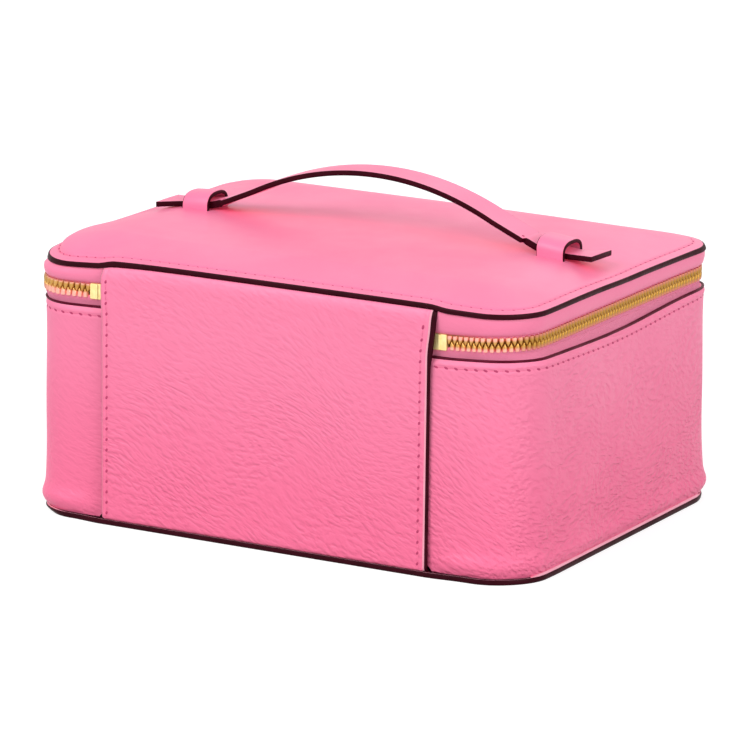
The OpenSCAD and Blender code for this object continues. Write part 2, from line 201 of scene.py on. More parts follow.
def make_mesh(name, shells, sharp_angle=SHARP_ANGLE):
    """One object from closed shells, each a pair of points in millimetres and faces."""
    points, faces = [], []
    for shell_points, shell_faces in shells:
        first = len(points)
        points.extend(tuple(p) for p in leaned_on(np.reshape(shell_points, (-1, 3))) * MM)
        faces.extend([first + i for i in face] for face in shell_faces)
    mesh = bpy.data.meshes.new(name)
    mesh.from_pydata(points, [], faces)
    work = bmesh.new()
    work.from_mesh(mesh)
    bmesh.ops.recalc_face_normals(work, faces=work.faces)
    work.to_mesh(mesh)
    work.free()
    mesh.shade_smooth()
    mesh.set_sharp_from_angle(angle=math.radians(sharp_angle))
    piece = bpy.data.objects.new(name, mesh)
    bpy.context.scene.collection.objects.link(piece)
    return piece


def add_piece(name, shells, finish, moves, stands_for=(), sharp_angle=SHARP_ANGLE):
    """A piece with its finish. It moves with one body, or, when it spans two, is left in place with its
    transform baked in.
    """
    piece = make_mesh(name, shells, sharp_angle)
    piece.data.materials.append(finish)
    if isinstance(moves, str):
        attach(piece, moves)
    else:
        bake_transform(piece)
    if stands_for:
        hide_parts(*stands_for)
    return piece


def loft(rings, closed_path=False):
    """A skin over closed rings of points, [station][point]. An open path gets its two end rings filled in."""
    rings = np.asarray(rings, float)
    count, size = rings.shape[:2]
    faces = []
    for i in range(count if closed_path else count - 1):
        a, b = i * size, (i + 1) % count * size
        for j in range(size):
            k = (j + 1) % size
            faces.append([a + j, a + k, b + k, b + j])
    if not closed_path:
        faces.append(list(range(size)))
        faces.append([(count - 1) * size + j for j in reversed(range(size))])
    return rings, faces


def along(path, across, outward, section):
    """Sweeps a section, [across, outward] pairs, along a path. A direction may be one for the whole path."""
    path, across, outward = (np.atleast_2d(np.asarray(a, float))[:, None] for a in (path, across, outward))
    section = np.asarray(section, float)
    return path + section[:, 0:1] * across + section[:, 1:2] * outward


def fillet(outline, radius, steps=5):
    """Rounds each corner of a closed outline. The radius may be one number or one for each corner."""
    outline = np.asarray(outline, float)
    radii = np.broadcast_to(radius, len(outline))
    result = []
    for i, corner in enumerate(outline):
        before, after = outline[i - 1] - corner, outline[(i + 1) % len(outline)] - corner
        u, v = unit(before), unit(after)
        half = math.acos(np.clip(u @ v, -1, 1)) / 2
        reach = min(radii[i] / math.tan(half), 0.49 * min(np.linalg.norm(before), np.linalg.norm(after)))
        centre = corner + unit(u + v) * reach * math.tan(half) / math.sin(half)
        start, end = corner + u * reach - centre, corner + v * reach - centre
        turn = math.atan2(start[0] * end[1] - start[1] * end[0], start @ end)
        for k in range(steps + 1):
            c, s = math.cos(turn * k / steps), math.sin(turn * k / steps)
            result.append(centre + [c * start[0] - s * start[1], s * start[0] + c * start[1]])
    return np.array(result)


def rect(x0, z0, x1, z1, radius, steps=5):
    """A rectangle with rounded corners, from its low corner to its high one."""
    return fillet([(x0, z0), (x1, z0), (x1, z1), (x0, z1)], radius, steps)


def inset(outline, depth):
    """Moves a closed outline inward."""
    step = np.roll(outline, -1, 0) - np.roll(outline, 1, 0)
    normal = np.stack([-step[:, 1], step[:, 0]], 1) / np.maximum(np.linalg.norm(step, axis=1), 1e-9)[:, None]
    area = np.sum(outline[:, 0] * np.roll(outline[:, 1], -1) - outline[:, 1] * np.roll(outline[:, 0], -1))
    return outline + normal * depth * (1 if area > 0 else -1)


def upright(points):
    """Places [x, z, y] rows."""
    return points[:, [0, 2, 1]]


def plate(outline, low, high, edge):
    """An upright plate with rounded edges. Its outline is in x and z, and y runs from low to high."""
    rings = []
    for end, way in ((low, 1), (high, -1)):
        half = []
        for a in np.linspace(0, QUARTER, EDGE_STEPS + 1):
            level = inset(outline, edge * (1 - math.sin(a)))
            half.append(upright(np.c_[level, np.full(len(level), end + way * edge * (1 - math.cos(a)))]))
        rings.extend(half[::way])
    return loft(rings)


def eye(x, y, z, inner, outer, half):
    """A round eye about a level pin that runs along X."""
    spoke = np.c_[np.zeros(EYE_STEPS), circle(EYE_STEPS)]
    blunt, wide = outer - EYE_EDGE, half - EYE_EDGE
    section = [[-half, inner], [-half, blunt], [-wide, outer], [wide, outer], [half, blunt], [half, inner]]
    return loft(along([x, y, z], [1, 0, 0], spoke, section), closed_path=True)


def sided(shells, way, shift=0.0):
    """Shells made for the right side, turned to the side that way says."""
    return [(points * [way, 1, 1] + [shift, 0, 0], faces) for points, faces in shells]


# ---- The outline of the case ----

CORNER_STEPS, LONG_STEPS, SHORT_STEPS = 24, 82, 58


def outline(depth, radius=None):
    """Points round the case at a depth inside the rim, anticlockwise from above."""
    radius = CORNER - depth if radius is None else radius
    x, y = RIM_X - depth - radius, RIM_Y - depth - radius
    centres = np.array([(x, y), (-x, y), (-x, -y), (x, -y)])
    result = []
    for k, steps in enumerate((LONG_STEPS, SHORT_STEPS) * 2):
        turn = QUARTER * (k + np.linspace(0, 1, CORNER_STEPS + 1))
        arc = centres[k] + radius * np.c_[np.cos(turn), np.sin(turn)]
        side = (centres[(k + 1) % 4] - centres[k]) * np.linspace(0, 1, steps + 1)[1:-1, None]
        result.extend([arc, arc[-1] + side])
    return np.concatenate(result)


RIM_LINE = outline(0)
RIM_NORMAL = RIM_LINE - outline(1)
ON_HINGE_SIDE = RIM_NORMAL[:, 1] > 0.999
FROM_PANEL = np.abs(RIM_LINE[:, 0] - PANEL_SHIFT) - PANEL_HALF
BEHIND_PANEL = ON_HINGE_SIDE & (FROM_PANEL < -1)
BESIDE_PANEL = ease(FROM_PANEL / 14)
FREE = np.where(ON_HINGE_SIDE, BESIDE_PANEL, 1.0)
SIDE_PLACE = np.abs(RIM_LINE / [RIM_X, RIM_Y] * RIM_NORMAL[:, ::-1]).sum(1)
FULLNESS = np.cos(QUARTER * np.clip(SIDE_PLACE / 0.88, 0, 1))


def bump_out(plus_x, minus_x, plus_y, minus_y, corners):
    """How far the soft body stands out at each place, from its four sides and four corners."""
    x, y = RIM_NORMAL.T
    sides = np.where(x > 0, plus_x, minus_x) * x ** 2 + np.where(y > 0, plus_y, minus_y) * y ** 2
    front, back = np.where(x > 0, corners[3], corners[2]), np.where(x > 0, corners[0], corners[1])
    return sides + np.where(y > 0, back, front) * 4 * x ** 2 * y ** 2


FOOT_OUT = bump_out(-0.5, 1.4, 0.6, 1.9, (0.2, -0.1, 0.3, 0.8))
FOOT_OUT = FOOT_OUT + 1.2 * np.where(ON_HINGE_SIDE, 1 - BESIDE_PANEL, 0)
MIDDLE_OUT = bump_out(0.2, 0.8, 0.3, 1.2, (0.7, -0.2, 1.4, 0.5)) * FREE
HEAD_OUT = bump_out(-0.2, 1.0, 0.0, 1.2, (0.7, -0.3, 1.2, 0.3))
HEAD_LEAN = np.sin(QUARTER * np.clip(RIM_LINE[:, 1] / 60, -1, 1))
HEAD_OUT = HEAD_OUT + 0.8 * np.clip(-RIM_NORMAL[:, 0], 0, 1) * HEAD_LEAN
BLUNT = bump_out(0, 0, 0, 0, (2.2, 0, 0.8, 0))
SLUMP = bump_out(0, 0, 0, 0, (1.3, 0, 1.9, 0))


def settled(share):
    """How far the body stands out at a share of its height."""
    low, high = ease(share * 2), ease(share * 2 - 1)
    return FOOT_OUT * FREE * (1 - low) + MIDDLE_OUT * (low - high) + HEAD_OUT * high


def ring(depth, z):
    """A ring of points round the case. Depth and height may change along it."""
    depth, z = (np.broadcast_to(a, len(RIM_LINE)) for a in (depth, z))
    return np.c_[RIM_LINE - depth[:, None] * RIM_NORMAL, z]


def band(rows):
    """A closed band round the case from its rings."""
    return loft(np.transpose(rows, (1, 0, 2)), closed_path=True)


def rim_place(s, depth):
    """Place, outward normal and heading on the outline at a depth, s millimetres from the front's middle."""
    way, r = (1 if s >= 0 else -1), CORNER - depth
    x, y, bend = RIM_X - CORNER, RIM_Y - CORNER, r * QUARTER
    on = abs(s) - x
    a = np.clip(on / r, 0, QUARTER) + np.clip((on - bend - 2 * y) / r, 0, QUARTER) - QUARTER
    c, n = math.cos(a), math.sin(a)
    across = x + min(on, 0) - max(on - 2 * bend - 2 * y, 0) + r * c
    back = -y + np.clip(on - bend, 0, 2 * y) + r * n
    return np.array([way * across, back]), np.array([way * c, n]), np.array([-n, way * c])


def rim_run(depth, back_x=0.0):
    """Length of the outline at a depth, from the middle of the front to a place on the hinge side."""
    return 2 * (RIM_X - CORNER) + math.pi * (CORNER - depth) + 2 * (RIM_Y - CORNER) - back_x


def seam_spots(depth):
    """Places and outward normals of a seam's needle holes, all round the case at a depth."""
    run = rim_run(depth)
    count = int(run / STITCH_PITCH)
    return [rim_place(run * k / count, depth)[:2] for k in range(-count, count)]


PANEL_LIFT = 0.8
TAIL_DENT = 1.2
# Corner of the lid, how far it droops, and how far round.
LID_DROOPS = ((1, 1, 1.5, 32), (-1, 1, 0.5, 30), (-1, -1, 1.1, 75))


def lid_sag(points):
    """How far the lid's soft rim is lifted by the hinge panel, droops at three corners and is dented."""
    x, y = points[..., 0], points[..., 1]
    lift = PANEL_LIFT * rise(np.abs(x), 71, 63) * rise(y, 56, 76)
    droop = sum(far * hill(x, y, side * RIM_X, end * RIM_Y, reach) for side, end, far, reach in LID_DROOPS)
    return lift - droop - TAIL_DENT * ridge(x, -84, 12) * ridge(y, 0, 14)


def sagged(points, low=None):
    """Lets a piece of the lid's rim follow the lid's sag, fully or more and more above a height."""
    points = np.array(points, float)
    share = 1.0 if low is None else np.clip((points[..., 2] - low) / (RIM_LOW[2] - low), 0, 1)
    points[..., 2] += lid_sag(points) * share
    return points


def swell(depth):
    """Height of the padded top above the rim."""
    return DOME_RISE * (1 - (1 - np.clip(np.asarray(depth) / DOME_MARGIN, 0, 1)) ** 1.35)


# ---- Shading ----

class Graph:
    """Adds nodes to a shader tree."""

    def __init__(self, tree):
        self.tree = tree

    def set(self, socket, value):
        if isinstance(value, bpy.types.NodeSocket):
            self.tree.links.new(value, socket)
        else:
            socket.default_value = value

    def add(self, kind, inputs=None, **settings):
        item = self.tree.nodes.new(kind)
        for key, value in settings.items():
            setattr(item, key, value)
        for key, value in (inputs or {}).items():
            self.set(item.inputs[key], value)
        return item

    def math(self, operation, a, b=0.0):
        return self.add("ShaderNodeMath", {0: a, 1: b}, operation=operation).outputs[0]

    def times(self, a, b):
        return self.math("MULTIPLY", a, b)

    def plus(self, a, b):
        return self.math("ADD", a, b)

    def minus(self, a, b):
        return self.math("SUBTRACT", a, b)

    def absolute(self, a):
        return self.math("ABSOLUTE", a)

    def vector(self, operation, a, b):
        return self.add("ShaderNodeVectorMath", {0: a, 1: b}, operation=operation).outputs

    def scaled(self, a, factor):
        return self.add("ShaderNodeVectorMath", {0: a, "Scale": factor}, operation="SCALE").outputs[0]

    def parts(self, vector):
        return self.add("ShaderNodeSeparateXYZ", {0: vector}).outputs

    def mixed(self, factor, a, b):
        return self.add("ShaderNodeMix", {0: factor, 2: a, 3: b}).outputs[0]

    def between(self, value, low, high, out_low=0.0, out_high=1.0):
        item = self.add("ShaderNodeMapRange", {"Value": value}, interpolation_type="SMOOTHSTEP")
        for key, limit in zip(("From Min", "From Max", "To Min", "To Max"), (low, high, out_low, out_high)):
            item.inputs[key].default_value = limit
        return item.outputs[0]

    def noise(self, place, scale, detail=2.0, roughness=0.5, output="Fac"):
        detailed = {"Vector": place, "Scale": scale, "Detail": detail, "Roughness": roughness}
        return self.add("ShaderNodeTexNoise", detailed).outputs[output]

    def tint(self, factor, a, b):
        """Mixes two colours, each a socket or three numbers."""
        item = self.add("ShaderNodeMix", data_type="RGBA")
        for key, value in ((0, factor), (6, a), (7, b)):
            self.set(item.inputs[key], (*value, 1.0) if isinstance(value, tuple) else value)
        return item.outputs[2]

    def seen(self):
        """1 for what the camera sees, straight or by a mirror or glass, and 0 for light on things."""
        paths = self.add("ShaderNodeLightPath").outputs
        mirrored = self.math("MAXIMUM", paths["Is Glossy Ray"], paths["Is Transmission Ray"])
        return self.math("MAXIMUM", paths["Is Camera Ray"], mirrored)


def start_group(name, inputs, outputs):
    """A node group with named sockets, as its graph, its entry and its exit."""
    tree = bpy.data.node_groups.new(name, "ShaderNodeTree")
    tree.interface.new_socket(name="Place", in_out="INPUT", socket_type="NodeSocketVector")
    for label, value in inputs.items():
        socket = tree.interface.new_socket(name=label, in_out="INPUT", socket_type="NodeSocketFloat")
        socket.default_value = value
    for label in outputs:
        tree.interface.new_socket(name=label, in_out="OUTPUT", socket_type="NodeSocketFloat")
    return Graph(tree), tree.nodes.new("NodeGroupInput").outputs, tree.nodes.new("NodeGroupOutput").inputs


def build_hide_grain():
    """Embossed wrinkles over a fine pebble, drawn out one way on the long sides and another on the short."""
    g, given, out = start_group(
        "Hide grain", {"Wrinkle": 0.8, "Stretch": 3.0, "Sweep": 9.0}, ["Height", "Creases"]
    )
    wander = g.noise(given["Place"], 0.022, 1.0, output="Color")
    bend = g.scaled(g.vector("SUBTRACT", wander, (0.5, 0.5, 0.5))[0], given["Sweep"])
    swept = g.vector("ADD", given["Place"], bend)[0]
    shorten = g.minus(g.math("DIVIDE", 1.0, given["Stretch"]), 1.0)
    fine = g.math("DIVIDE", 1.0, given["Wrinkle"])
    rows = []
    for lean in ((0.9, 0.1, 0.42), (0.1, 0.985, 0.14)):
        run = g.vector("DOT_PRODUCT", swept, lean)["Value"]
        drawn = g.vector("ADD", swept, g.scaled(lean, g.times(run, shorten)))[0]
        rows.append(g.noise(drawn, fine, 1.5, 0.4))
    facing = g.parts(g.add("ShaderNodeNewGeometry").outputs["True Normal"])
    short_side = g.between(g.absolute(facing["X"]), 0.45, 0.85)
    open_skin = g.between(g.mixed(short_side, *rows), 0.28, 0.66)
    pebble = g.noise(swept, g.times(fine, 2.2), 1.0, 0.5)
    patches = g.between(g.noise(given["Place"], 0.04, 1.0), 0.36, 0.64, 0.65, 1.0)
    spot = g.parts(given["Place"])
    calm = g.times(g.between(spot["X"], 56.0, 84.0, 1.0, 0.35), g.between(short_side, 0.0, 1.0, 1.0, 1.6))
    pressed = g.times(g.times(patches, calm), g.between(spot["Z"], 90.0, 15.0, 0.5, 1.2))
    g.set(out["Height"], g.times(g.plus(open_skin, g.times(pebble, 0.25)), pressed))
    g.set(out["Creases"], g.times(g.minus(1.0, open_skin), pressed))
    return g.tree


def build_cloth_weave():
    """Plain weave on upright walls and level floors."""
    g, given, out = start_group("Cloth weave", {"Thread": 0.5}, ["Height", "Gaps"])
    spot = g.parts(given["Place"])
    facing = g.parts(g.add("ShaderNodeNewGeometry").outputs["Normal"])["Z"]
    level = g.math("GREATER_THAN", g.absolute(facing), 0.7)
    u = g.mixed(level, g.plus(spot["X"], spot["Y"]), spot["X"])
    v = g.mixed(level, spot["Z"], spot["Y"])
    u, v = (g.math("DIVIDE", c, given["Thread"]) for c in (u, v))
    turn = g.math("FLOORED_MODULO", g.plus(g.math("FLOOR", u), g.math("FLOOR", v)), 2.0)
    over, under = (g.math("SINE", g.times(g.math("FRACT", c), math.pi)) for c in (u, v))
    height = g.mixed(turn, over, under)
    g.set(out["Height"], height)
    g.set(out["Gaps"], g.between(height, 0.75, 0.1))
    return g.tree


def build_handling():
    """Blotches of colour and gloss, as use and dye leave them."""
    g, given, out = start_group(
        "Handling", {"Size": 20.0, "Dull": 0.5, "Shiny": 0.35}, ["Roughness", "Blotches"]
    )
    broad = g.math("DIVIDE", 1.0, given["Size"])
    cloud = g.between(g.noise(given["Place"], broad, 3.0, 0.55), 0.3, 0.7)
    smear = g.noise(given["Place"], g.times(broad, 7.0))
    both = g.plus(g.times(cloud, 0.7), g.times(smear, 0.3))
    span = g.minus(given["Dull"], given["Shiny"])
    g.set(out["Roughness"], g.plus(given["Shiny"], g.times(both, span)))
    g.set(out["Blotches"], both)
    return g.tree


GRAIN = build_hide_grain()
WEAVE = build_cloth_weave()
HANDLING = build_handling()


def start_material(name, slot, **constants):
    """A material, as its graph, its Principled shader and the place in millimetres. The slot is not used."""
    material = bpy.data.materials.new(name)
    material.use_nodes = True
    g = Graph(material.node_tree)
    shader = material.node_tree.nodes["Principled BSDF"]
    for key, value in constants.items():
        shader.inputs[key.replace("_", " ")].default_value = value
    return material, g, shader, g.scaled(g.add("ShaderNodeTexCoord").outputs["Object"], 1000.0)


def use_group(g, tree, **inputs):
    return g.add("ShaderNodeGroup", inputs, node_tree=tree).outputs


def handled(g, place, size, dull, shiny):
    return use_group(g, HANDLING, Place=place, Size=size, Dull=dull, Shiny=shiny)


def feed(g, shader, colour, roughness, height, depth):
    g.set(shader.inputs["Base Color"], colour)
    g.set(shader.inputs["Roughness"], roughness)
    bump = g.add("ShaderNodeBump", {"Height": height, "Distance": depth, "Strength": 1.0})
    g.set(shader.inputs["Normal"], bump.outputs[0])


PINK = (0.96, 0.215, 0.38)
PINK_WORN = (0.92, 0.195, 0.355)
# The next two pinks paint light: a paler pink as painted light toward the top of the case and on the gusset,
# and a deeper pink as painted shade toward its foot.
PINK_PAINTED_LIGHT = (0.96, 0.245, 0.41)
PINK_PAINTED_SHADE = (0.93, 0.16, 0.315)
# Painted shade in the grain's creases.
PINK_CREASE_SHADE = (0.84, 0.13, 0.275)


def leather(name, wrinkle, stretch, sweep, depth, crease_shade_share, dull, shiny, painted_height_light=False):
    """Dyed leather. A hide with the painted height light is painted a deeper pink toward the foot of the
    case, as painted shade, and a paler pink toward the top, as painted light.
    """
    material, g, shader, place = start_material(name, "leather", Specular_IOR_Level=0.36)
    grain = use_group(g, GRAIN, Place=place, Wrinkle=wrinkle, Stretch=stretch, Sweep=sweep)
    wear = handled(g, place, 34.0, dull, shiny)
    base = g.tint(wear["Blotches"], PINK, PINK_WORN)
    if painted_height_light:
        # Painted light and shade: a deeper pink low on the case and a paler pink high up.
        base = g.tint(0.7, base, g.tint(g.between(g.parts(place)["Z"], 8.0, 84.0), PINK_PAINTED_SHADE, PINK_PAINTED_LIGHT))
    # Painted shade: the grain's creases are darkened toward a deeper pink.
    colour = g.tint(g.times(grain["Creases"], crease_shade_share), base, PINK_CREASE_SHADE)
    feed(g, shader, colour, wear["Roughness"], grain["Height"], depth)
    return material


def edge_coat(name, slot, light, dark):
    material, g, shader, place = start_material(name, slot, Specular_IOR_Level=0.06)
    wear = handled(g, place, 9.0, 0.5, 0.3)
    feed(g, shader, g.tint(wear["Blotches"], light, dark), wear["Roughness"], g.noise(place, 0.9), 0.00008)
    return material


def brass_finish(name, colour, tarnish, dull, shiny, root_reflection=None, short_side_shade=None, short_side_root_reflection=None):
    """Brushed brass. Zip teeth get a painted pink reflection of the tape toward their root ends. On the short
    sides they get a darker brown as painted shade, with a deeper painted pink reflection toward the root ends
    there.
    """
    material, g, shader, place = start_material(name, "brass", Metallic=1.0)
    wear = handled(g, place, 2.5, dull, shiny)
    brushed = g.noise(g.vector("MULTIPLY", place, (6.0, 6.0, 0.8))[0], 1.0)
    metal = g.tint(wear["Blotches"], colour, tarnish)
    if root_reflection:
        spot = g.parts(place)
        from_panel = g.absolute(g.plus(spot["X"], 64.0))
        drooped = g.times(g.between(from_panel, 34.0, 2.0, 0.0, 1.4), g.between(spot["Y"], 60.0, 70.0))
        from_tips = g.absolute(g.minus(g.plus(spot["Z"], drooped), HINGE_Z))
        # Painted reflection: toward their root ends the teeth take the tape's pink.
        metal = g.tint(g.between(from_tips, 0.7, 1.9, 0.0, 0.85), metal, root_reflection)
        # Painted shade on the short sides: darker brown toward the tips, with painted pink reflection toward
        # the root ends.
        shaded_side_metal = g.tint(g.between(from_tips, 1.0, 2.4, 0.0, 0.8), short_side_shade, short_side_root_reflection)
        metal = g.tint(g.between(g.absolute(spot["X"]), 91.0, 97.5), metal, shaded_side_metal)
    feed(g, shader, metal, wear["Roughness"], brushed, 0.00001)
    return material


def cloth_finish(name, slot, thread, light, dark, depth, crevice_shade=None):
    """Woven cloth. The zip tape is painted brown along the teeth, as painted shade in the crevice between
    them.
    """
    material, g, shader, place = start_material(
        name, slot, Specular_IOR_Level=0.2, Sheen_Weight=0.2, Sheen_Roughness=0.5
    )
    weave = use_group(g, WEAVE, Place=place, Thread=thread)
    wear = handled(g, place, 18.0, 0.85, 0.7)
    colour = g.tint(weave["Gaps"], g.tint(g.times(wear["Blotches"], 0.25), light, dark), dark)
    if crevice_shade:
        from_teeth = g.absolute(g.minus(g.parts(place)["Z"], HINGE_Z))
        # Painted shade: brown where the tape shows between the interlocking teeth.
        colour = g.tint(g.between(from_teeth, 2.3, 1.3), colour, crevice_shade)
    feed(g, shader, colour, wear["Roughness"], weave["Height"], depth)
    return material


def board_finish(name, light, dark):
    material, g, shader, place = start_material(name, "board", Specular_IOR_Level=0.25)
    wear = handled(g, place, 12.0, 0.95, 0.8)
    fibre = g.noise(g.vector("MULTIPLY", place, (0.5, 0.5, 4.0))[0], 1.4, 4.0, 0.65)
    colour = g.tint(fibre, g.tint(wear["Blotches"], light, dark), dark)
    feed(g, shader, colour, wear["Roughness"], fibre, 0.00006)
    return material


def thread_finish(name, colour, dark):
    material, g, shader, place = start_material(name, "leather", Specular_IOR_Level=0.3)
    strand = g.absolute(g.math("SINE", g.vector("DOT_PRODUCT", place, (9.0, 9.0, 9.0))["Value"]))
    wear = handled(g, place, 6.0, 0.7, 0.5)
    feed(g, shader, g.tint(strand, dark, colour), wear["Roughness"], strand, 0.00005)
    return material


body_hide = leather("Embossed pink leather", 1.35, 2.5, 17.0, 0.00023, 0.2, 0.56, 0.42, painted_height_light=True)
# The gusset lies wholly in the paler band, as painted light under the rim's overhang.
gusset_hide = leather("Gusset leather", 0.6, 1.6, 8.0, 0.00005, 0.1, 0.5, 0.4, painted_height_light=True)
lid_hide = leather("Smooth pink leather", 0.6, 1.6, 8.0, 0.00005, 0.1, 0.5, 0.4)
strap_hide = leather("Strap leather", 0.5, 1.4, 5.0, 0.00004, 0.1, 0.5, 0.38)
lacquer = edge_coat("Burgundy edge lacquer", "edge_lacquer", (0.042, 0.002, 0.008), (0.024, 0.001, 0.004))
thin_lacquer = edge_coat("Thin edge lacquer", "edge_lacquer", (0.12, 0.006, 0.024), (0.07, 0.004, 0.014))
# A pale strip that paints the highlight along cut edges.
painted_highlight_welt = edge_coat("Painted highlight welt", "leather", (0.94, 0.46, 0.56), (0.88, 0.36, 0.47))
plated_brass = brass_finish("Plated brass", (0.88, 0.72, 0.36), (0.80, 0.60, 0.26), 0.36, 0.24)
stop_brass = brass_finish("Pale stop brass", (0.90, 0.78, 0.42), (0.84, 0.68, 0.32), 0.75, 0.6)
# The last three colours are a painted pink reflection, the painted shade of the short sides, and that side's
# painted pink reflection.
tooth_brass = brass_finish(
    "Zip tooth brass", (0.66, 0.38, 0.12), (0.48, 0.25, 0.06), 0.5, 0.34,
    (0.95, 0.46, 0.40), (0.42, 0.22, 0.045), (0.62, 0.20, 0.17),
)
tape_cloth = cloth_finish(
    "Zip tape", "zip_tape", 0.42, (0.99, 0.27, 0.44), (0.88, 0.18, 0.33), 0.0001, (0.42, 0.17, 0.06)
)
lining_cloth = cloth_finish("Lining cloth", "lining", 0.5, (0.87, 0.62, 0.66), (0.68, 0.40, 0.46), 0.00008)
grey_board = board_finish("Stiffening board", (0.36, 0.26, 0.17), (0.27, 0.19, 0.12))
stitch_thread = thread_finish("Pink thread", (0.93, 0.22, 0.38), (0.78, 0.13, 0.27))
# Painted shade: the dark pink of the needle holes.
needle_hole_shade = thread_finish("Needle hole shade", (0.60, 0.065, 0.18), (0.46, 0.04, 0.12))


# ---- Stitching ----

THREAD_R = 0.2
THREAD_SLANT = 0.12
THREAD_STEPS = 6
# Share of the way from hole to hole, share of the thread's radius, and height over the leather.
THREAD_SHAPE = (
    (0.12, 0.3, -0.25), (0.25, 0.85, -0.08), (0.5, 1.0, 0.0), (0.75, 0.85, -0.08), (0.88, 0.3, -0.25),
)
HOLE_SLANT = 0.3
HOLE_STEPS = 12
# Height over the leather and share of the hole's size.
HOLE_SHAPE = ((-0.15, 1.0), (0.09, 1.0), (0.13, 0.75))


def turned(steps, a, b):
    """A round of points from two half-axes."""
    c, s = circle(steps).T[..., None]
    return c * a + s * b


def thread_shells(places, normals, closed):
    """Thread from each needle hole to the next."""
    following = np.roll(np.arange(len(places)), -1)[:len(places) if closed else -1]
    threads = []
    for i, k in enumerate(following):
        a, b = places[i], places[k]
        up = unit(normals[i] + normals[k])
        side = np.cross(up, unit(b - a))
        rings = []
        for t, r, lift in THREAD_SHAPE:
            centre = a + (b - a) * t + up * lift + side * THREAD_SLANT * (2 * t - 1)
            rings.append(centre + THREAD_R * r * turned(THREAD_STEPS, side, up))
        threads.append(loft(rings))
    return threads


def hole_shells(places, normals, closed, size):
    """Dark patches that paint the shade inside needle holes, long and short, which slant across the seam."""
    runs = np.roll(places, -1, 0) - np.roll(places, 1, 0)
    if not closed:
        runs[0], runs[-1] = places[1] - places[0], places[-1] - places[-2]
    holes = []
    for place, normal, run in zip(places, normals, unit(runs)):
        side = np.cross(normal, run)
        slit = turned(HOLE_STEPS, (run - side * HOLE_SLANT) * size[0], side * size[1])
        holes.append(loft([place + slit * share + normal * lift for lift, share in HOLE_SHAPE]))
    return holes


def sew(name, places, normals, moves, closed=False, hole=(0.62, 0.34)):
    places, normals = np.asarray(places, float), np.asarray(normals, float)
    threads, holes = thread_shells(places, normals, closed), hole_shells(places, normals, closed, hole)
    add_piece(name + "_thread", threads, stitch_thread, moves, sharp_angle=STITCH_SHARP_ANGLE)
    add_piece(name + "_holes", holes, needle_hole_shade, moves, sharp_angle=STITCH_SHARP_ANGLE)


# ---- Base and body ----

HEAD_Z = WALL_HIGH[2] + 0.65
BODY_STITCH_Z = BEAD_TOP - 3.5
BEAD_W = 0.95
FOOT_SWELL = 1.25
HEAD_FLARE = 0.45
WALL_BULGE = 1.2
WALL_GROOVE = 0.22


def wall_depth(z):
    """Depth of the body's leather behind the rim, all round, at one height."""
    foot, head = WALL_LOW[2], WALL_HIGH[2]
    share = (z - foot) / (head - foot)
    tuck = np.exp((foot - z) / 0.9), np.exp((foot - z) / 1.5)
    swollen = FOOT_SWELL * ridge(z, foot + 4.3, 3.2) - 0.5 * tuck[0] + SLUMP * ridge(z, 4, 16) * (1 - tuck[1])
    flare = swollen * FREE + HEAD_FLARE * math.exp((z - head) / 5.0)
    roll = 0.5 * max(0.0, (z - head + 1.3) / 1.3) ** 2
    bulge = WALL_BULGE * FULLNESS * math.sin(math.pi * share)
    groove = WALL_GROOVE * ridge(z, BODY_STITCH_Z, 0.55)
    depth = WALL_INSET - flare - bulge + groove + roll - settled(share)
    return np.where(BEHIND_PANEL, WALL_INSET + 0.02, depth)


def make_body():
    foot, bead_h = WALL_LOW[2], BEAD_TOP - HEAD_Z
    middle = np.linspace(foot + 10, HEAD_Z - 8, 26)
    levels = np.unique([*np.linspace(foot, foot + 10, 11), *middle, *np.linspace(HEAD_Z - 8, HEAD_Z, 25)])
    lip = wall_depth(HEAD_Z)
    behind = lip + BEAD_W
    rows = [ring(wall_depth(z), z) for z in levels] + [
        ring(behind, HEAD_Z), ring(behind + 0.05, HEAD_Z + bead_h * 0.7),
        ring(np.maximum(WALL_IN, behind + 0.1), HEAD_Z + bead_h * 0.6), ring(WALL_IN, foot),
    ]
    add_piece("body_leather", [band(rows)], body_hide, "case", ["body_wall"])

    rows = []
    section = ((0, 0), (-0.03, 0.3), (-0.02, 0.6), (0.1, 0.86), (0.36, 1), (0.75, 0.98), (1, 0.8), (1, 0))
    for across, up in section:
        depth = lip + BEAD_W * max(across, 0) + min(across, 0) * ~BEHIND_PANEL
        rows.append(ring(depth, HEAD_Z + bead_h * up))
    add_piece("body_edge", [band(rows)], thin_lacquer, "case", ["body_edge_lacquer"])

    first, last = -rim_run(0, PANEL_HALF - PANEL_SHIFT + 2.2), rim_run(0, PANEL_HALF + PANEL_SHIFT + 2.2)
    depths = wall_depth(BODY_STITCH_Z)
    depths = np.where(BEHIND_PANEL, depths[np.argmax(RIM_LINE[:, 0])], depths)
    places, normals = [], []
    for s in np.linspace(first, last, int((last - first) / STITCH_PITCH)):
        where, normal, _ = rim_place(s, 0)
        depth = depths[np.argmin(np.linalg.norm(RIM_LINE - where, axis=1))]
        places.append([*(where - normal * depth), BODY_STITCH_Z])
        normals.append([*normal, 0])
    sew("body_seam", places, normals, "case", hole=(0.78, 0.44))


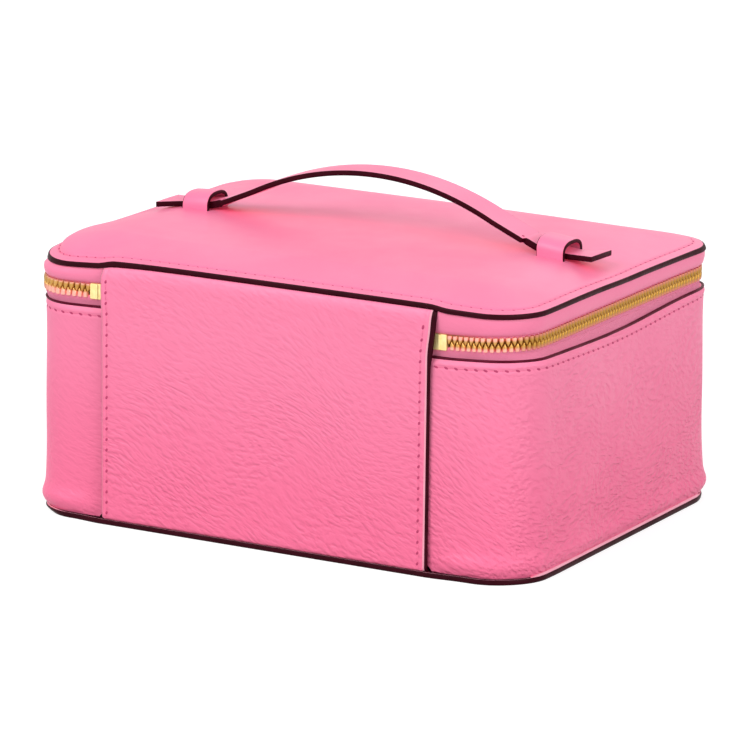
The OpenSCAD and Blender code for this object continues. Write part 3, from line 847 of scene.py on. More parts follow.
def make_base():
    low, high = BASE_LOW[2], BASE_HIGH[2]
    along_x = np.abs(RIM_NORMAL[:, 0])
    cover = 2.6 * (1 - along_x ** 6)
    section = (
        (1.5, 0), (0.5, 0), (0.2, 0.06), (0.03, 0.25), (0, 0.5), (0.03, 0.75), (0.2, 0.96), (0.5 + cover, 1),
    )
    rows = [
        ring(depth - FOOT_OUT + BLUNT * max(0.0, 0.7 - up), low + (high - low) * up) for depth, up in section
    ]
    add_piece("base_edge", [band(rows)], lacquer, "case", ["base_edge_lacquer"])

    under = high - 0.05
    edge = 0.5 - FOOT_OUT + 0.7 * BLUNT
    panel = [ring(3.0, low), ring(edge, low), ring(edge, under), ring(3.0, under)]
    add_piece("base_leather", [loft(panel)], body_hide, "case", ["base_panel"])

    # Painted highlight: a pale line along the top of the base edge, raised only on the short sides.
    shown = rise(along_x, 0.93, 1.0)
    inner = WALL_INSET + 1.0
    section = ((0.35, -0.3), (0.4, 0.3 * shown), (0.75, 0.75 * shown), (inner, shown), (inner, -0.3))
    welt = band([ring(depth - FOOT_OUT, under + up) for depth, up in section])
    add_piece("base_highlight_welt", [welt], painted_highlight_welt, "case")
    places = [[*where, low + 0.3] for where, _ in seam_spots(3.2)]
    sew("base_seam", places, [[0, 0, -1]] * len(places), "case", closed=True)


def make_linings():
    middle, inner, outer = DOME_MARGIN / 2, LINING_OUT + LINING_T, WALL_IN + TAPE_T + 0.05
    floor, top = box_mm("base_lining")[1][2], LINING_HIGH[2]
    rows = [ring(*place) for place in (
        (middle, floor), (inner + 1.2, floor), (inner + 0.35, floor + 0.35), (inner, floor + 1.2),
        (inner, top - 0.3), (inner - 0.3, top + 0.08), (LINING_OUT - 0.4, top + 0.12), (outer, top + 0.12),
        (outer, top + 0.02), (LINING_OUT, top + 0.02), (LINING_OUT, floor - LINING_T),
        (middle, floor - LINING_T),
    )]
    lined = ["body_wall_lining", "base_lining"]
    add_piece("body_lining", [loft(rows)], lining_cloth, "case", lined)

    low, high = LID_LINING_LOW[2], LID_LINING_HIGH[2]
    roof = high - LINING_T
    rows = [ring(*place) for place in (
        (middle, roof), (inner + 0.8, roof), (inner, roof - 0.8), (inner, low + 0.3),
        (inner - 0.3, low - 0.08),
        (LINING_OUT - 0.4, low - 0.12), (outer, low - 0.12), (outer, low - 0.02), (LINING_OUT, low - 0.02),
        (LINING_OUT, high), (middle, high),
    )]
    add_piece("lid_lining_cloth", [loft(rows)], lining_cloth, "lid", ["lid_lining"])


# ---- Hinge panel ----

PANEL_SIDE = PANEL_HALF - 0.3
PANEL_FOOT, PANEL_TOP = WALL_LOW[2], RIM_LOW[2]
SEAM_X = PANEL_HALF - 2.6
BEND_HALF = 4.5
PANEL_BEND = (
    "case", "lid", *((0, PANEL_OUT * MM, (HINGE_Z + way * BEND_HALF) * MM) for way in (-1, 1)),
)


def panel_out(z):
    """How far out the hinge panel's outer face stands, at heights between its two ends."""
    z = np.asarray(z, float)
    end = RIM_Y + 0.1
    high = np.sqrt(1 - ((z - (PANEL_TOP - PINCH)) / PINCH).clip(0, 1) ** 2)
    low = np.sqrt(1 - ((PANEL_FOOT + FOOT_ROUND - z) / FOOT_ROUND).clip(0, 1) ** 2)
    return end + (PANEL_OUT - end) * np.minimum(high, 0.4 + 0.6 * low)


def panel_levels():
    foot = PANEL_FOOT + FOOT_ROUND * (1 - np.cos(np.linspace(0, QUARTER, 7)))
    head = PANEL_TOP - PINCH * (1 - np.cos(np.linspace(0, QUARTER, 9)))
    straight = np.linspace(PANEL_FOOT + FOOT_ROUND, 78, 30)
    return np.unique(np.round(np.concatenate([foot, straight, np.linspace(78, 90, 37), head]), 3))


def panel_place(points):
    """Sets the panel a little to one side, spreads its upper end, and lifts it with the lid's rim."""
    points = np.array(points, float)
    upper = rise(points[:, 2], HINGE_Z - 6, RIM_LOW[2])
    spread = np.where(points[:, 0] < 0, 1.4, 0.3)
    points[:, 0] += PANEL_SHIFT + spread * upper * np.clip(points[:, 0] / PANEL_HALF, -1, 1) ** 3
    share = rise(points[:, 2], HINGE_Z + 2, RIM_LOW[2])
    points[:, 2] += lid_sag(np.c_[points[:, 0], np.full(len(points), RIM_Y)]) * share
    return points


def panel_strip(levels, section_at, way):
    """A strip up one side of the hinge panel, from its section at each height."""
    return loft([panel_place([(way * x, y, z) for x, y in section_at(z)]) for z in levels])


def make_panel_leather(levels):
    near = [0, 0.08, 0.2, 0.4, 0.65, 0.9, 1.2, 1.4, 1.6, 1.9, 2.2, 2.5, 2.8, 3.1, 3.6, 4.6, 7, 10]
    half = PANEL_SIDE - np.array(near)
    x = np.unique(np.round(np.concatenate([half, -half, np.linspace(-54, 54, 28)]), 3))
    lip = 0.8 * np.clip(1 - (PANEL_SIDE - np.abs(x)) / 1.2, 0, 1) ** 2
    groove = 0.2 * ridge(np.abs(x), SEAM_X, 0.6)
    rows = []
    for z in levels:
        face = np.c_[x, panel_out(z) - lip - groove, np.full_like(x, z)]
        back = [[side, PANEL_IN + 0.03, z] for side in (PANEL_SIDE, -PANEL_SIDE)]
        rows.append(panel_place(np.concatenate([face, back])))
    add_piece("hinge_leather", [loft(rows)], body_hide, PANEL_BEND,
              ["hinge_panel_body", "hinge_panel_lid"])


def make_panel_side(name, way, levels):
    side = PANEL_SIDE

    def coat(z):
        out = float(panel_out(max(z, levels[2]))) - 0.98
        wide = 0.35 + 0.8 * float(rise(z, 74, 82)) if way < 0 else 0.0
        return (
            (side - 0.02, PANEL_IN + 0.05), (PANEL_HALF - 0.04, PANEL_IN + 0.1),
            (PANEL_HALF + 0.1 + wide, (out + PANEL_IN) / 2), (PANEL_HALF + 0.02 + wide, out - 0.2),
            (side + 0.05, out + 0.1), (side - 0.02, out),
        )

    # Painted highlight: a pale strip along the panel's edge, in front of the lacquer.
    def welt(z):
        out = float(panel_out(z))
        corners = ((-0.4, -0.3), (-0.2, -0.5), (0.04, -0.78), (-0.1, -0.95), (-0.4, -0.6))
        return [(side + across, out + back) for across, back in corners]

    edge = panel_strip([BASE_LOW[2] + 0.6, *levels], coat, way)
    add_piece(f"hinge_edge_{name}", [edge], lacquer, PANEL_BEND)
    add_piece(f"hinge_highlight_welt_{name}", [panel_strip(levels, welt, way)], painted_highlight_welt, PANEL_BEND)

    count = int((PANEL_TOP - PANEL_FOOT - 5) / STITCH_PITCH)
    z = PANEL_FOOT + 2.6 + STITCH_PITCH * np.arange(count + 1)
    step = 0.2
    slope = (panel_out(z + step) - panel_out(z - step)) / (2 * step)
    places = panel_place(np.c_[np.full_like(z, way * SEAM_X), panel_out(z) - 0.2, z])
    normals = unit(np.c_[np.zeros_like(z), np.ones_like(z), -slope])
    sew(f"hinge_seam_{name}", places, normals, PANEL_BEND, hole=(0.62, 0.48))


def make_panel_foot(name, way):
    turn = np.linspace(0, QUARTER, 8)
    web_w, web_h, foot = 2.3, 2.6, BASE_HIGH[2] - 0.2
    x = way * PANEL_SIDE + PANEL_SHIFT
    curve = np.c_[x + way * web_w * (1 - np.sin(turn)), foot + web_h * (1 - np.cos(turn))]
    web = plate(np.concatenate([[(x, foot)], curve]), RIM_Y - WALL_INSET - 0.3, RIM_Y - 0.6, 0.1)
    add_piece(f"hinge_foot_{name}", [web], lacquer, "case")


def make_hinge_panel():
    levels = panel_levels()
    make_panel_leather(levels)
    for name, way in SIDES:
        make_panel_side(name, way, levels)
    for name, way in SIDES:
        make_panel_foot(name, way)
    x = np.array([-1, -1, 1, 1]) * (PANEL_HALF - 2.5) + PANEL_SHIFT
    y = PANEL_IN + np.array([-0.05, -0.55, -0.55, -0.05])
    rows = [np.c_[x, y, np.full(4, z)] for z in np.linspace(BEAD_TOP + 0.1, GUSSET_LOW[2] - 0.1, 25)]
    add_piece("hinge_lining", [loft(rows)], lining_cloth, PANEL_BEND)


# ---- Lid ----

LID_SEAM_DEPTH = 3.9
LID_GROOVE = 0.3


def make_lid():
    edge_out = RIM_HIGH[2] - RIM_LOW[2]
    border = [0.5, 0.65, 0.9, 1.4, 2.2, 2.9, *np.linspace(3.2, 4.6, 9)]
    depths = [*border, 5, 5.8, 7, 8.5, *np.linspace(10, DOME_MARGIN, 12)]
    rows = [ring(3.0, RIM_LOW[2]), ring(0.5, RIM_LOW[2])]
    for depth in depths:
        radius = CORNER - depth
        if depth > BORDER_W:
            radius = (CORNER - BORDER_W) * (1 - 0.75 * (depth - BORDER_W) / (DOME_MARGIN - BORDER_W))
        line = outline(depth, radius)
        height = RIM_HIGH[2] + swell(depth) - LID_GROOVE * ridge(depth, LID_SEAM_DEPTH, 0.55)
        rows.append(np.c_[line, np.full(len(line), height)])
    for share in (0.8, 0.55, 0.3, 0.1):
        rows.append(np.c_[outline(DOME_MARGIN, 3.25) * share, np.full(len(RIM_LINE), TOP_Z)])
    cover = ["lid_top_panel", "lid_foam_pad"]
    piece = add_piece("lid_leather", [loft(sagged(rows))], lid_hide, "lid", cover)

    section = ((0.5, 0), (0.2, 0.04), (0.03, 0.16), (0, 0.5), (0.03, 0.84), (0.22, 1.02), (0.5, 1.07))
    rows = [sagged(ring(depth - 0.05, RIM_LOW[2] + edge_out * up)) for depth, up in section]
    add_piece("lid_edge", [band(rows)], lacquer, "lid", ["lid_edge_lacquer"])

    slope = float(swell(LID_SEAM_DEPTH + 0.5) - swell(LID_SEAM_DEPTH - 0.5))
    seam_z = RIM_HIGH[2] + float(swell(LID_SEAM_DEPTH)) - LID_GROOVE
    spots = seam_spots(LID_SEAM_DEPTH)
    normals = unit([[*(normal * slope), 1.0] for _, normal in spots])
    places = sagged([[*where, seam_z] for where, _ in spots])
    sew("lid_seam", places, normals, "lid", closed=True, hole=(0.5, 0.24))

    low, high = GUSSET_LOW[2], GUSSET_HIGH[2]
    section = (
        (0.75, 1), (0.62, 0.85), (0.6, 0.65), (0.72, 0.42), (0.98, 0.22), (1.25, 0.1), (1.75, 0.02), (2.1, 0),
    )
    rows = []
    for depth, up in section:
        depth = np.where(BEHIND_PANEL, max(depth, WALL_INSET + 0.02), depth)
        rows.append(ring(depth, low + (high - low) * up))
    rows += [ring(WALL_IN, low + 0.15), ring(WALL_IN, high)]
    add_piece("gusset_leather", [band(sagged(rows, low))], gusset_hide, "lid", ["lid_gusset"])


# ---- Zip ----

STOP_WIDER = 0.9
CORD_R = 0.62


def zip_stations(depth, ease_off):
    """Where the zip starts and ends along the outline, next to the two stops."""
    end = STOP_HIGH[0] + STOP_WIDER + ease_off
    return -rim_run(depth, end - PANEL_SHIFT), rim_run(depth, end + PANEL_SHIFT)


def make_tapes():
    spots = [rim_place(s, 0) for s in np.linspace(*zip_stations(0, -8.0), 420)]
    path = [[*place, 0] for place, _, _ in spots]
    inward = [[*-normal, 0] for _, normal, _ in spots]
    for name, body, near, far, node in (
        ("zip_tape_lower", "case", TEETH_FOOT, TAPE_FOOT, "zip_tape_body"),
        ("zip_tape_upper", "lid", TEETH_HEAD, TAPE_HEAD, "zip_tape_lid"),
    ):
        way = 1 if far > near else -1
        section = [
            (WALL_IN, far), (WALL_IN, near + way * 1.5), (TOOTH_MID - CORD_R, near + way * 0.9),
            (TOOTH_MID - CORD_R, near - way * 0.3), (TOOTH_MID, near - way * 0.9),
            (TOOTH_MID + CORD_R, near - way * 0.3), (TOOTH_MID + CORD_R, near + way * 0.9),
            (WALL_IN + TAPE_T, near + way * 1.5), (WALL_IN + TAPE_T, far),
        ]
        add_piece(name, [loft(along(path, inward, [0, 0, 1], section))], tape_cloth, body, [node])

    apron = np.roll(np.arange(len(RIM_LINE)), len(RIM_LINE) // 4)
    apron = apron[RIM_LINE[apron, 1] > -RIM_Y + 12]
    behind = wall_depth(HEAD_Z) + BEAD_W
    low, high = BEAD_TOP - 0.15, TEETH_FOOT - 0.7
    rows = [ring(*place) for place in (
        (behind + 0.02, low), (TOOTH_MID - 0.7, high), (TOOTH_MID + 0.2, high), (behind + 0.9, low - 0.3),
    )]
    add_piece("zip_apron", [loft(np.transpose(rows, (1, 0, 2))[apron])], tape_cloth, "case")


def tooth_rings(root, tip, pitch):
    """A tooth with a narrow outer face and a wide back, from its root on the tape to its tip."""
    # Share of the way to the tip, width of the face, share of the pitch that the back takes, and depth.
    levels = (
        (0.0, 0.8, 0.9, 2.0), (0.05, 1.25, 1.0, 2.45), (0.35, 1.25, 1.0, 2.6), (0.62, 1.05, 1.0, 2.6),
        (0.74, 0.8, 0.7, 2.5), (0.84, 0.55, 0.48, 2.4), (0.92, 0.36, 0.28, 2.2), (1.0, 0.2, 0.14, 1.8),
    )
    rings = []
    for share, face, back, deep in levels:
        z = root + (tip - root) * share
        f, w, d = face / 2, back * pitch / 2 - 0.02, deep / 2
        half = [(w, -d), (w, 0.1 * d), (f, 0.88 * d), (f * 0.6, d)]
        rings.append([(-w, -d, z), *((x, y, z) for x, y in half), *((-x, y, z) for x, y in half[:0:-1])])
    return np.array(rings)


def make_teeth():
    jitter = random.Random(7)
    first, last = zip_stations(TOOTH_MID, 0.9)
    count = round((last - first) / TOOTH_PITCH)
    pitch = (last - first) / (count - 1)
    reach = 0.6 * (TEETH_HEAD - TEETH_FOOT)
    for name, body, root, tip, shift, node in (
        ("zip_teeth_lower", "case", TEETH_FOOT, TEETH_FOOT + reach, 0.5, "zip_teeth_body"),
        ("zip_teeth_upper", "lid", TEETH_HEAD, TEETH_HEAD - reach, 0.0, "zip_teeth_lid"),
    ):
        template = tooth_rings(root, tip, pitch)
        shells = []
        for i in range(count - (shift > 0)):
            where, normal, heading = rim_place(first + (i + shift) * pitch, TOOTH_MID)
            heading = heading + normal * jitter.uniform(-0.03, 0.03)
            flat = template[..., 0:1] * heading + template[..., 1:2] * normal + where
            shells.append(loft(np.concatenate([flat, template[..., 2:3]], -1)))
        add_piece(name, shells, tooth_brass, body, [node])


def make_stops():
    (x0, y0, z0), (x1, y1, z1) = STOP_LOW - [0.5, 0, 0], STOP_HIGH + [STOP_WIDER, 0, 0.25]
    middle = (x0 + x1) / 2 + 0.3
    block = plate(rect(x0, z0, x1, z1, 0.5), y0, y1, 0.35)
    ridged = rect(middle - 0.55, z0 + 0.15, middle + 0.55, z1 - 0.15, 0.3)
    shells = [block, plate(ridged, y1 - 0.3, y1 + 0.33, 0.28)]
    for name, way in SIDES:
        add_piece(f"zip_stop_{name}_clip", sided(shells, way, PANEL_SHIFT), stop_brass, "case",
                  [f"zip_stop_{name}"])


# ---- Sliders and pulls ----

SLIDER_X = (SLIDER_LOW[0] + SLIDER_HIGH[0]) / 2
SLIDER_HALF = (SLIDER_HIGH[0] - SLIDER_LOW[0]) / 2
SLIDER_TALL = (SLIDER_HIGH[2] - SLIDER_LOW[2]) / 2
FACE_OUT, FACE_IN = -RIM_Y - 0.8, -RIM_Y + 0.8
BACK_OUT, BACK_IN = -RIM_Y + 4.4, -RIM_Y + 5.4
PIN_Y = (LINK_LOW[1] + LINK_HIGH[1]) / 2
TAB_PIN_Z = HINGE_Z - 9
BAR_R = 0.75
BAR_STEPS = 14
ARM_T = 1.7
EYE_R = 0.83
TAB_HALF_T = 1.1


def make_slider(name, way):
    half, tall = SLIDER_HALF, SLIDER_TALL
    nose, shoulder = 0.6 * tall, 0.46 * half - half
    shape = fillet([
        (-half, -nose), (shoulder, -tall), (half, -0.72 * tall),
        (half, 0.72 * tall), (shoulder, tall), (-half, nose),
    ], [1.0, 1.6, 0.7, 0.7, 1.6, 1.0]) + [SLIDER_X, HINGE_Z]
    post_x, lip_z = SLIDER_X - half + 0.3, SLIDER_LOW[2]
    post = rect(post_x, HINGE_Z - 0.25, post_x + 1.0, HINGE_Z + 0.25, 0.1)
    foot = rect(SLIDER_X - 2, HINGE_Z - 1.7, SLIDER_X + 2, HINGE_Z + 1.7, 0.4)
    lip = rect(SLIDER_X - 3.2, lip_z, SLIDER_X + 2.2, lip_z + 1.15, 0.3)
    shells = [
        plate(shape, FACE_OUT, FACE_IN, 0.55),
        plate(inset(shape, 1.5), FACE_OUT - 0.25, FACE_OUT + 0.3, 0.22),
        plate(shape, BACK_OUT, BACK_IN, 0.35),
        plate(post, FACE_IN - 0.3, BACK_OUT + 0.3, 0.1),
        eye(SLIDER_X, PIN_Y, HINGE_Z, EYE_R, 1.5, 2.0),
        plate(foot, PIN_Y + EYE_R + 0.15, FACE_OUT + 0.3, 0.15),
        plate(lip, FACE_IN - 0.4, -RIM_Y + WALL_IN - 0.05, 0.2),
        plate(lip, -RIM_Y + WALL_IN + TAPE_T + 0.1, BACK_OUT + 0.4, 0.2),
    ]
    add_piece(f"slider_{name}_body", sided(shells, way), plated_brass, f"slider_{name}",
              [f"zip_slider_{name}"])


def make_link(name, way):
    half = (LINK_HIGH[0] - LINK_LOW[0] - ARM_T) / 2
    loop = rect(-half, TAB_PIN_Z, half, HINGE_Z, 1.1, 8)
    step = unit(np.roll(loop, -1, 0) - np.roll(loop, 1, 0))
    level = np.zeros(len(loop))
    path = np.c_[loop[:, 0] + SLIDER_X, level + PIN_Y, loop[:, 1]]
    outward = np.c_[step[:, 1], level, -step[:, 0]]
    bar = loft(along(path, [0, 1, 0], outward, BAR_R * circle(BAR_STEPS)), closed_path=True)
    add_piece(f"link_{name}_loop", sided([bar], way), plated_brass, f"link_{name}",
              [f"pull_link_{name}"])


def make_tab(name, way):
    half, half_t = (TAB_HIGH[0] - TAB_LOW[0]) / 2, TAB_HALF_T
    neck, top, low = 2.0, TAB_PIN_Z - 0.6, TAB_LOW[2]
    shape = fillet([
        (-neck, top), (-neck, TAB_PIN_Z - 3.1), (-half, TAB_PIN_Z - 4.9), (-half, low), (half, low),
        (half, TAB_PIN_Z - 4.9), (neck, TAB_PIN_Z - 3.1), (neck, top),
    ], [0.3, 1.6, 2.4, 2.6, 2.6, 2.4, 1.6, 0.3], 8) + [SLIDER_X, 0]

    def level(line, w):
        return np.c_[line[:, 0] * way, np.full(len(line), PIN_Y + w), line[:, 1]]

    core = inset(shape, 0.3)
    crown = inset(core, 0.5)
    slab = loft([
        level(crown, -half_t - 0.02), level(core, -half_t + 0.05),
        level(core, half_t - 0.05), level(crown, half_t + 0.02),
    ])
    loop = sided([eye(SLIDER_X, PIN_Y, TAB_PIN_Z, EYE_R, 1.28, 1.9)], way)
    tab, node = f"tab_{name}", f"pull_tab_{name}"
    add_piece(tab + "_leather", [slab, *loop], strap_hide, tab, [node])

    inward = inset(shape, 0.35) - shape
    section = ((1.0, 1.0, 0), (0.45, 1.0, 0.01), (0.12, 0.78, 0))
    section = [(a, -w * half_t - more) for a, w, more in section] + [(0.0, 0.0)] + [
        (a, w * half_t + more) for a, w, more in section[::-1]
    ]
    rings = np.stack([level(shape + inward * a, w) for a, w in section], 1)
    add_piece(tab + "_edge", [loft(rings, closed_path=True)], lacquer, tab)

    wide, seam_top, seam_low = half - 1.5, TAB_PIN_Z - 6.2, low + 1.5
    line = fillet([(-wide, seam_top), (-wide, seam_low), (wide, seam_low), (wide, seam_top)], 1.6, 4)
    loop = np.concatenate([line, line[:1]]) + [SLIDER_X, 0]
    runs = run_along(loop)
    spots = spots_at(np.linspace(0, runs[-1], int(runs[-1] / 2.6), endpoint=False), runs, loop)
    for label, face in (("front", -1), ("back", 1)):
        places = level(spots, face * (half_t + 0.01))
        sew(f"{tab}_{label}_seam", places, [[0, face, 0]] * len(spots), tab, closed=True)


# ---- Keepers ----

KEEPER_LEAN = {1: 0.07, -1: 0.11}
KEEPER_LIFT = {1: 0.5, -1: 1.1}
KEEPER_HALF_T = 0.78
KEEPER_POWER = 2 / 2.7


def make_keeper(name, way):
    middle = way * (KEEPER_LOW[0] + KEEPER_HIGH[0]) / 2 + STRAP_SHIFT + 0.5 - 0.35 * (1 + way)
    half_w = (KEEPER_HIGH[0] - KEEPER_LOW[0]) / 2 + 0.3
    base = KEEPER_LOW[2]
    half_span, height = KEEPER_HIGH[1] - 1.9, KEEPER_HIGH[2] - base - 1.3 + 0.4 * way
    turn = np.linspace(0, math.pi, 49)
    c, s = np.cos(turn), np.sin(turn)
    arch = np.c_[
        np.sign(c) * np.abs(c) ** KEEPER_POWER * half_span,
        np.abs(s) ** KEEPER_POWER * height + base + KEEPER_LIFT[way],
    ]
    feet = np.linspace(0.0, 1.0, 4)[1:, None] * [0, -1.3 - KEEPER_LIFT[way]]
    arch = np.concatenate([(arch[0] + feet)[::-1], arch, arch[-1] + feet])
    step = unit(np.gradient(arch, axis=0))
    path = np.c_[np.full(len(arch), middle), arch]
    outward = np.c_[np.zeros(len(arch)), step[:, 1], -step[:, 0]]
    across = [1, 0, -way * KEEPER_LEAN[way]]
    flat, t = half_w - 0.35, KEEPER_HALF_T
    face = [(-flat, -t), (-flat, t - 0.08), (0.4 - flat, t), (flat - 0.4, t), (flat, t - 0.08), (flat, -t)]
    add_piece(f"keeper_{name}_leather", [loft(along(path, across, outward, face))], strap_hide, "lid",
              [f"keeper_{name}"])
    coat = np.array([
        (flat, -t), (flat + 0.22, -t + 0.06), (half_w, -0.3 * t), (half_w, 0.3 * t),
        (flat + 0.25, t - 0.22), (flat - 0.1, t - 0.25),
    ])
    coats = [loft(along(path, across, outward, coat * [end, 1])) for end in (-1, 1)]
    add_piece(f"keeper_{name}_edge", coats, lacquer, "lid")


# ---- Strap handle ----

GRIP_HALF = 49.0
TAIL_X = 66.8
NECK_W = 9.6
STRAP_W = GRIP_HIGH[1] - GRIP_LOW[1]
TAIL_W = TAIL_HIGH[1] - TAIL_LOW[1]
GRIP_TOP = GRIP_HIGH[2] - STRAP_T / 2
GRIP_RISE = 12.0
GRIP_END_Z = GRIP_TOP - GRIP_RISE
TAIL_Z = GRIP_END_Z - 8.0
TAIL_SLOPE = 2.0
TAIL_RUN = 22.4
TAIL_SKEW = 0.033
FLARE = 9.0
SHOULDER_X = {1: 62.3, -1: 60.6}
SMOOTHING = 24


def strap_line():
    """The middle line of one half of the strap, in x and z, from the top of the arch to the tail's end."""
    radius = (GRIP_HALF ** 2 + GRIP_RISE ** 2) / (2 * GRIP_RISE)
    sweep = math.asin(GRIP_HALF / radius)
    a = np.linspace(-sweep, sweep, 200)
    arch = np.c_[radius * np.sin(a), GRIP_TOP - radius * (1 - np.cos(a))]
    end = (TAIL_X + TAIL_RUN, TAIL_Z - TAIL_RUN * math.tan(math.radians(TAIL_SLOPE)))
    corners = np.array([(GRIP_HALF, GRIP_END_Z), (TAIL_X, TAIL_Z), end])
    rest = [
        corners[k] + (corners[k + 1] - corners[k]) * np.linspace(0, 1, 60)[1:, None] for k in range(2)
    ]
    right = np.concatenate([arch[len(arch) // 2:], *rest])
    line = np.concatenate([right[::-1] * [-1, 1], right])
    runs = run_along(line)
    even = spots_at(np.linspace(0, runs[-1], 1201), runs, line)
    kernel = ridge(np.arange(-SMOOTHING, SMOOTHING + 1), 0, 11.0)
    kernel = kernel / kernel.sum()
    padded = np.pad(even, ((SMOOTHING, SMOOTHING), (0, 0)), mode="reflect", reflect_type="odd")
    return np.stack([np.convolve(column, kernel, "valid") for column in padded.T], 1)[600:]


STRAP_LINE = strap_line()
STRAP_RUN = run_along(STRAP_LINE)
STRAP_STEP = np.gradient(STRAP_LINE, STRAP_RUN, axis=0)


def strap_at(x):
    """Distance along the strap at which it is x from the middle."""
    return float(np.interp(x, STRAP_LINE[:, 0], STRAP_RUN))


def on_strap(points, way):
    """Places rows of [distance along, across, above] on one half of the strap."""
    s, across, above = np.asarray(points, float).T
    shoulder, keeper = strap_at(SHOULDER_X[way]), strap_at(72)
    above = above * (1 + 0.3 * rise(s, shoulder, shoulder + 1.5) * (1 - rise(s, keeper, keeper + 5)))
    step = unit(spots_at(s, STRAP_RUN, STRAP_STEP)).T
    over = np.maximum(s - STRAP_RUN[-1], 0)
    spot = spots_at(s, STRAP_RUN, STRAP_LINE).T + step * over
    x, z = spot[0] - step[1] * above, spot[1] + step[0] * above
    z = z - way * TAIL_SKEW * np.maximum(x - TAIL_X, 0)
    if way < 0:
        curl = 0.1 * np.maximum(x - 79, 0) + 0.03 * across * rise(x, 77, 87)
        z = z + curl - 1.1 * rise(x, 66, 76) - 0.35 * rise(x, 74, 84)
    else:
        z = z + 0.5 * rise(x, 60, 68)
    return np.c_[way * x + STRAP_SHIFT, across, z]


def strap_half_width(s, way):
    shoulder, flare = strap_at(SHOULDER_X[way]), STRAP_RUN[-1] - FLARE
    width = STRAP_W + (NECK_W - STRAP_W) * rise(s, shoulder, shoulder + 0.7)
    return (width + (TAIL_W - NECK_W) * np.clip((s - flare) / FLARE, 0, 1) ** 1.15) / 2


def strap_stretch(name, way, start, end, is_tail, bend, nodes):
    """A stretch of the strap: its leather, and the lacquer along its edges."""
    shoulder, top = strap_at(SHOULDER_X[way]), STRAP_T / 2
    marks = [*np.arange(start, end, 0.9), end]
    if is_tail:
        marks += [*np.linspace(shoulder, shoulder + 0.7, 6)]
    s = np.unique(np.round(marks, 4))
    half = strap_half_width(s, way)
    across = np.array([-1, -0.93, -0.6, -0.2, 0.2, 0.6, 0.93, 1])
    face = top - 0.06 + 0.1 * (1 - across ** 2)
    reach, stop = half - 0.12, s.copy()
    if is_tail:
        stop[-1] -= 0.2
        reach[-1] -= 0.3
    rings = []
    for at, wide in zip(stop, reach):
        v = across * wide
        section = np.c_[np.full(16, at), [*v, *v[::-1]], [*face, *-face]]
        rings.append(on_strap(section, way))
    add_piece(f"strap_{name}", [loft(rings)], strap_hide, bend, nodes)

    near, far = np.c_[s, -half], np.c_[s, half][::-1]
    lines = [near, far]
    if is_tail:
        corner = fillet([near[-2], near[-1], far[0], far[1]], 0.5, 4)[6:16]
        lines = [np.concatenate([near[:-1], corner[corner[:, 0] > s[-2]], far[1:]])]
    coats = []
    for line in lines:
        step = unit(np.gradient(line, axis=0))
        outward = np.c_[step[:, 1], -step[:, 0]]
        coat = [
            on_strap(np.c_[line + outward * out, np.full(len(line), up * top)], way)
            for out, up in (
                (-0.3, -0.9), (-0.1, -0.97), (-0.02, -0.75), (0, 0), (-0.02, 0.75), (-0.1, 0.94), (-0.3, 0.9),
            )
        ]
        coats.append(loft(np.transpose(coat, (1, 0, 2))))
    add_piece(f"strap_{name}_edge", coats, lacquer, bend)


def strap_bend(near, far, way, start, end, z):
    """The two bodies that a stretch of the strap spans, with two places along X between them."""
    return near, far, *(((way * x + STRAP_SHIFT) * MM, 0, z * MM) for x in (start, end))


def make_strap():
    middle = strap_at((GRIP_HALF + TAIL_X) / 2)
    for name, way in SIDES:
        riser, tail = f"strap_riser_{name}", f"strap_tail_{name}"
        upper = strap_bend("strap_grip", riser, way, 44, 54, GRIP_END_Z)
        lower = strap_bend(riser, tail, way, 62, 70, TAIL_Z)
        grip_nodes = ["strap_grip"] if way > 0 else []
        strap_stretch(f"half_{name}", way, 0.0, middle, False, upper, grip_nodes + [riser])
        strap_stretch(f"end_{name}", way, middle, STRAP_RUN[-1], True, lower, [tail])
        seam = strap_at(SHOULDER_X[way] - 0.6)
        hole_y = STRAP_W / 2 - 2.0
        places = on_strap([[seam, v, STRAP_T / 2 + 0.05] for v in (-hole_y, hole_y)], way)
        low, high = on_strap([[seam, 0, 0.0], [seam, 0, 1.0]], way)
        holes = hole_shells(places, [high - low] * 2, False, (0.5, 0.42))
        add_piece(f"strap_rivet_hole_shade_{name}", holes[1:], needle_hole_shade, lower, sharp_angle=STITCH_SHARP_ANGLE)


# ---- Boards that the leather hides ----

def make_boards():
    outer, inner = WALL_IN + TAPE_T + 0.05, LINING_OUT - 0.05
    for node, name, body in (
        ("body_wall_board", "body_board_wall", "case"), ("lid_wall_board", "lid_board_wall", "lid"),
    ):
        low, high = (corner[2] for corner in box_mm(node))
        board = band([ring(outer, low), ring(outer, high), ring(inner, high), ring(inner, low)])
        add_piece(name, [board], grey_board, body, [node])
    for node in ("base_board", "lid_board"):
        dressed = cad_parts[node]
        dressed.data.materials.clear()
        dressed.data.materials.append(grey_board)


# ---- Floor, light and camera ----

WHITE = (1, 1, 1, 1)
FLOOR_STEPS = 64


def emptied(owner):
    """The graph of a material or a world with its nodes taken out."""
    owner.use_nodes = True
    owner.node_tree.nodes.clear()
    return Graph(owner.node_tree)


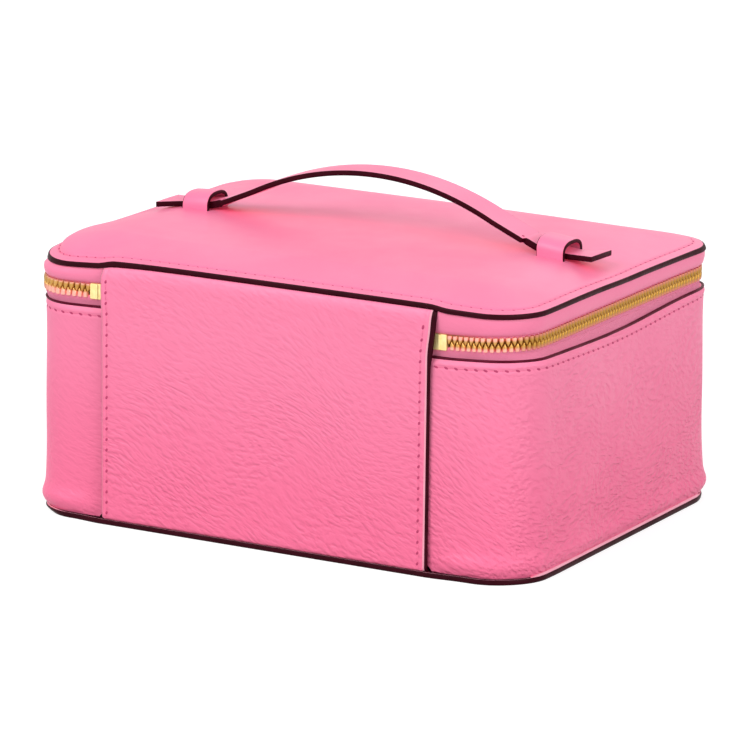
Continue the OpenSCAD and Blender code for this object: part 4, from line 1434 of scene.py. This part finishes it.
def make_stage():
    rings = [np.c_[r * circle(FLOOR_STEPS), np.full(FLOOR_STEPS, -0.03)] for r in (60, 400, 2000, 9000)]
    points, faces = loft(rings)
    floor = make_mesh("floor", [(points, faces[:-1])])
    material = bpy.data.materials.new("Pale floor")
    g = emptied(material)
    matte = g.add("ShaderNodeBsdfDiffuse", {"Color": (0.42, 0.42, 0.42, 1)}).outputs[0]
    lift = g.add("ShaderNodeEmission", {"Color": WHITE, "Strength": g.times(g.seen(), 0.75)}).outputs[0]
    both = g.add("ShaderNodeAddShader", {0: matte, 1: lift}).outputs[0]
    g.add("ShaderNodeOutputMaterial", {"Surface": both})
    floor.data.materials.append(material)

    world = bpy.data.worlds.new("Studio")
    bpy.context.scene.world = world
    g = emptied(world)
    soft = g.add("ShaderNodeBackground", {"Color": WHITE, "Strength": 0.62}).outputs[0]
    white = g.add("ShaderNodeBackground", {"Color": WHITE, "Strength": 1.0}).outputs[0]
    mixed = g.add("ShaderNodeMixShader", {0: g.seen(), 1: soft, 2: white}).outputs[0]
    g.add("ShaderNodeOutputWorld", {"Surface": mixed})


def add_softbox(name, place, size, watts):
    data = bpy.data.lights.new(name, "AREA")
    data.shape = "DISK"
    data.size = size
    data.energy = watts
    lamp = bpy.data.objects.new(name, data)
    bpy.context.scene.collection.objects.link(lamp)
    lamp.location = place
    lamp.rotation_euler = (Vector((0, 0, 0.05)) - Vector(place)).to_track_quat("-Z", "Y").to_euler()


def add_camera():
    turn, tilt, roll = (math.radians(a) for a in (29.021, 13.874, 0.72))
    distance, shift_x, shift_z = 1900.23, -0.174, -0.486
    picture_px, focal_px, sensor = 749, 5260.8, 36.0
    back = Vector((-math.sin(turn) * math.cos(tilt), math.cos(turn) * math.cos(tilt), math.sin(tilt)))
    right = Vector((-math.cos(turn), -math.sin(turn), 0))
    up = back.cross(right)
    place = Vector((0, 0, RIM_HIGH[2] / 2)) + back * distance + right * shift_x + up * shift_z
    rolled_right = right * math.cos(roll) + up * math.sin(roll)
    rolled_up = up * math.cos(roll) - right * math.sin(roll)
    data = bpy.data.cameras.new("camera")
    data.sensor_width = sensor
    data.lens = sensor * focal_px / picture_px
    data.clip_end = 50
    camera = bpy.data.objects.new("camera", data)
    bpy.context.scene.collection.objects.link(camera)
    aimed = Matrix((rolled_right, rolled_up, back)).transposed().to_4x4()
    camera.matrix_world = Matrix.Translation(place * MM) @ aimed
    bpy.context.scene.camera = camera


add_camera()
make_stage()
add_softbox("key", (0.7, 1.7, 1.45), 1.4, 28)
add_softbox("fill", (-2.0, 0.7, 0.85), 1.6, 21.5)
add_softbox("front", (0.3, -1.8, 1.2), 1.4, 4)

make_base()
make_body()
make_linings()
make_hinge_panel()
make_lid()
make_tapes()
make_teeth()
make_stops()
for side_name, side_way in SIDES:
    make_slider(side_name, side_way)
    make_link(side_name, side_way)
    make_tab(side_name, side_way)
    make_keeper(side_name, side_way)
make_strap()
make_boards()

view = bpy.context.scene.view_settings
view.view_transform = "Standard"
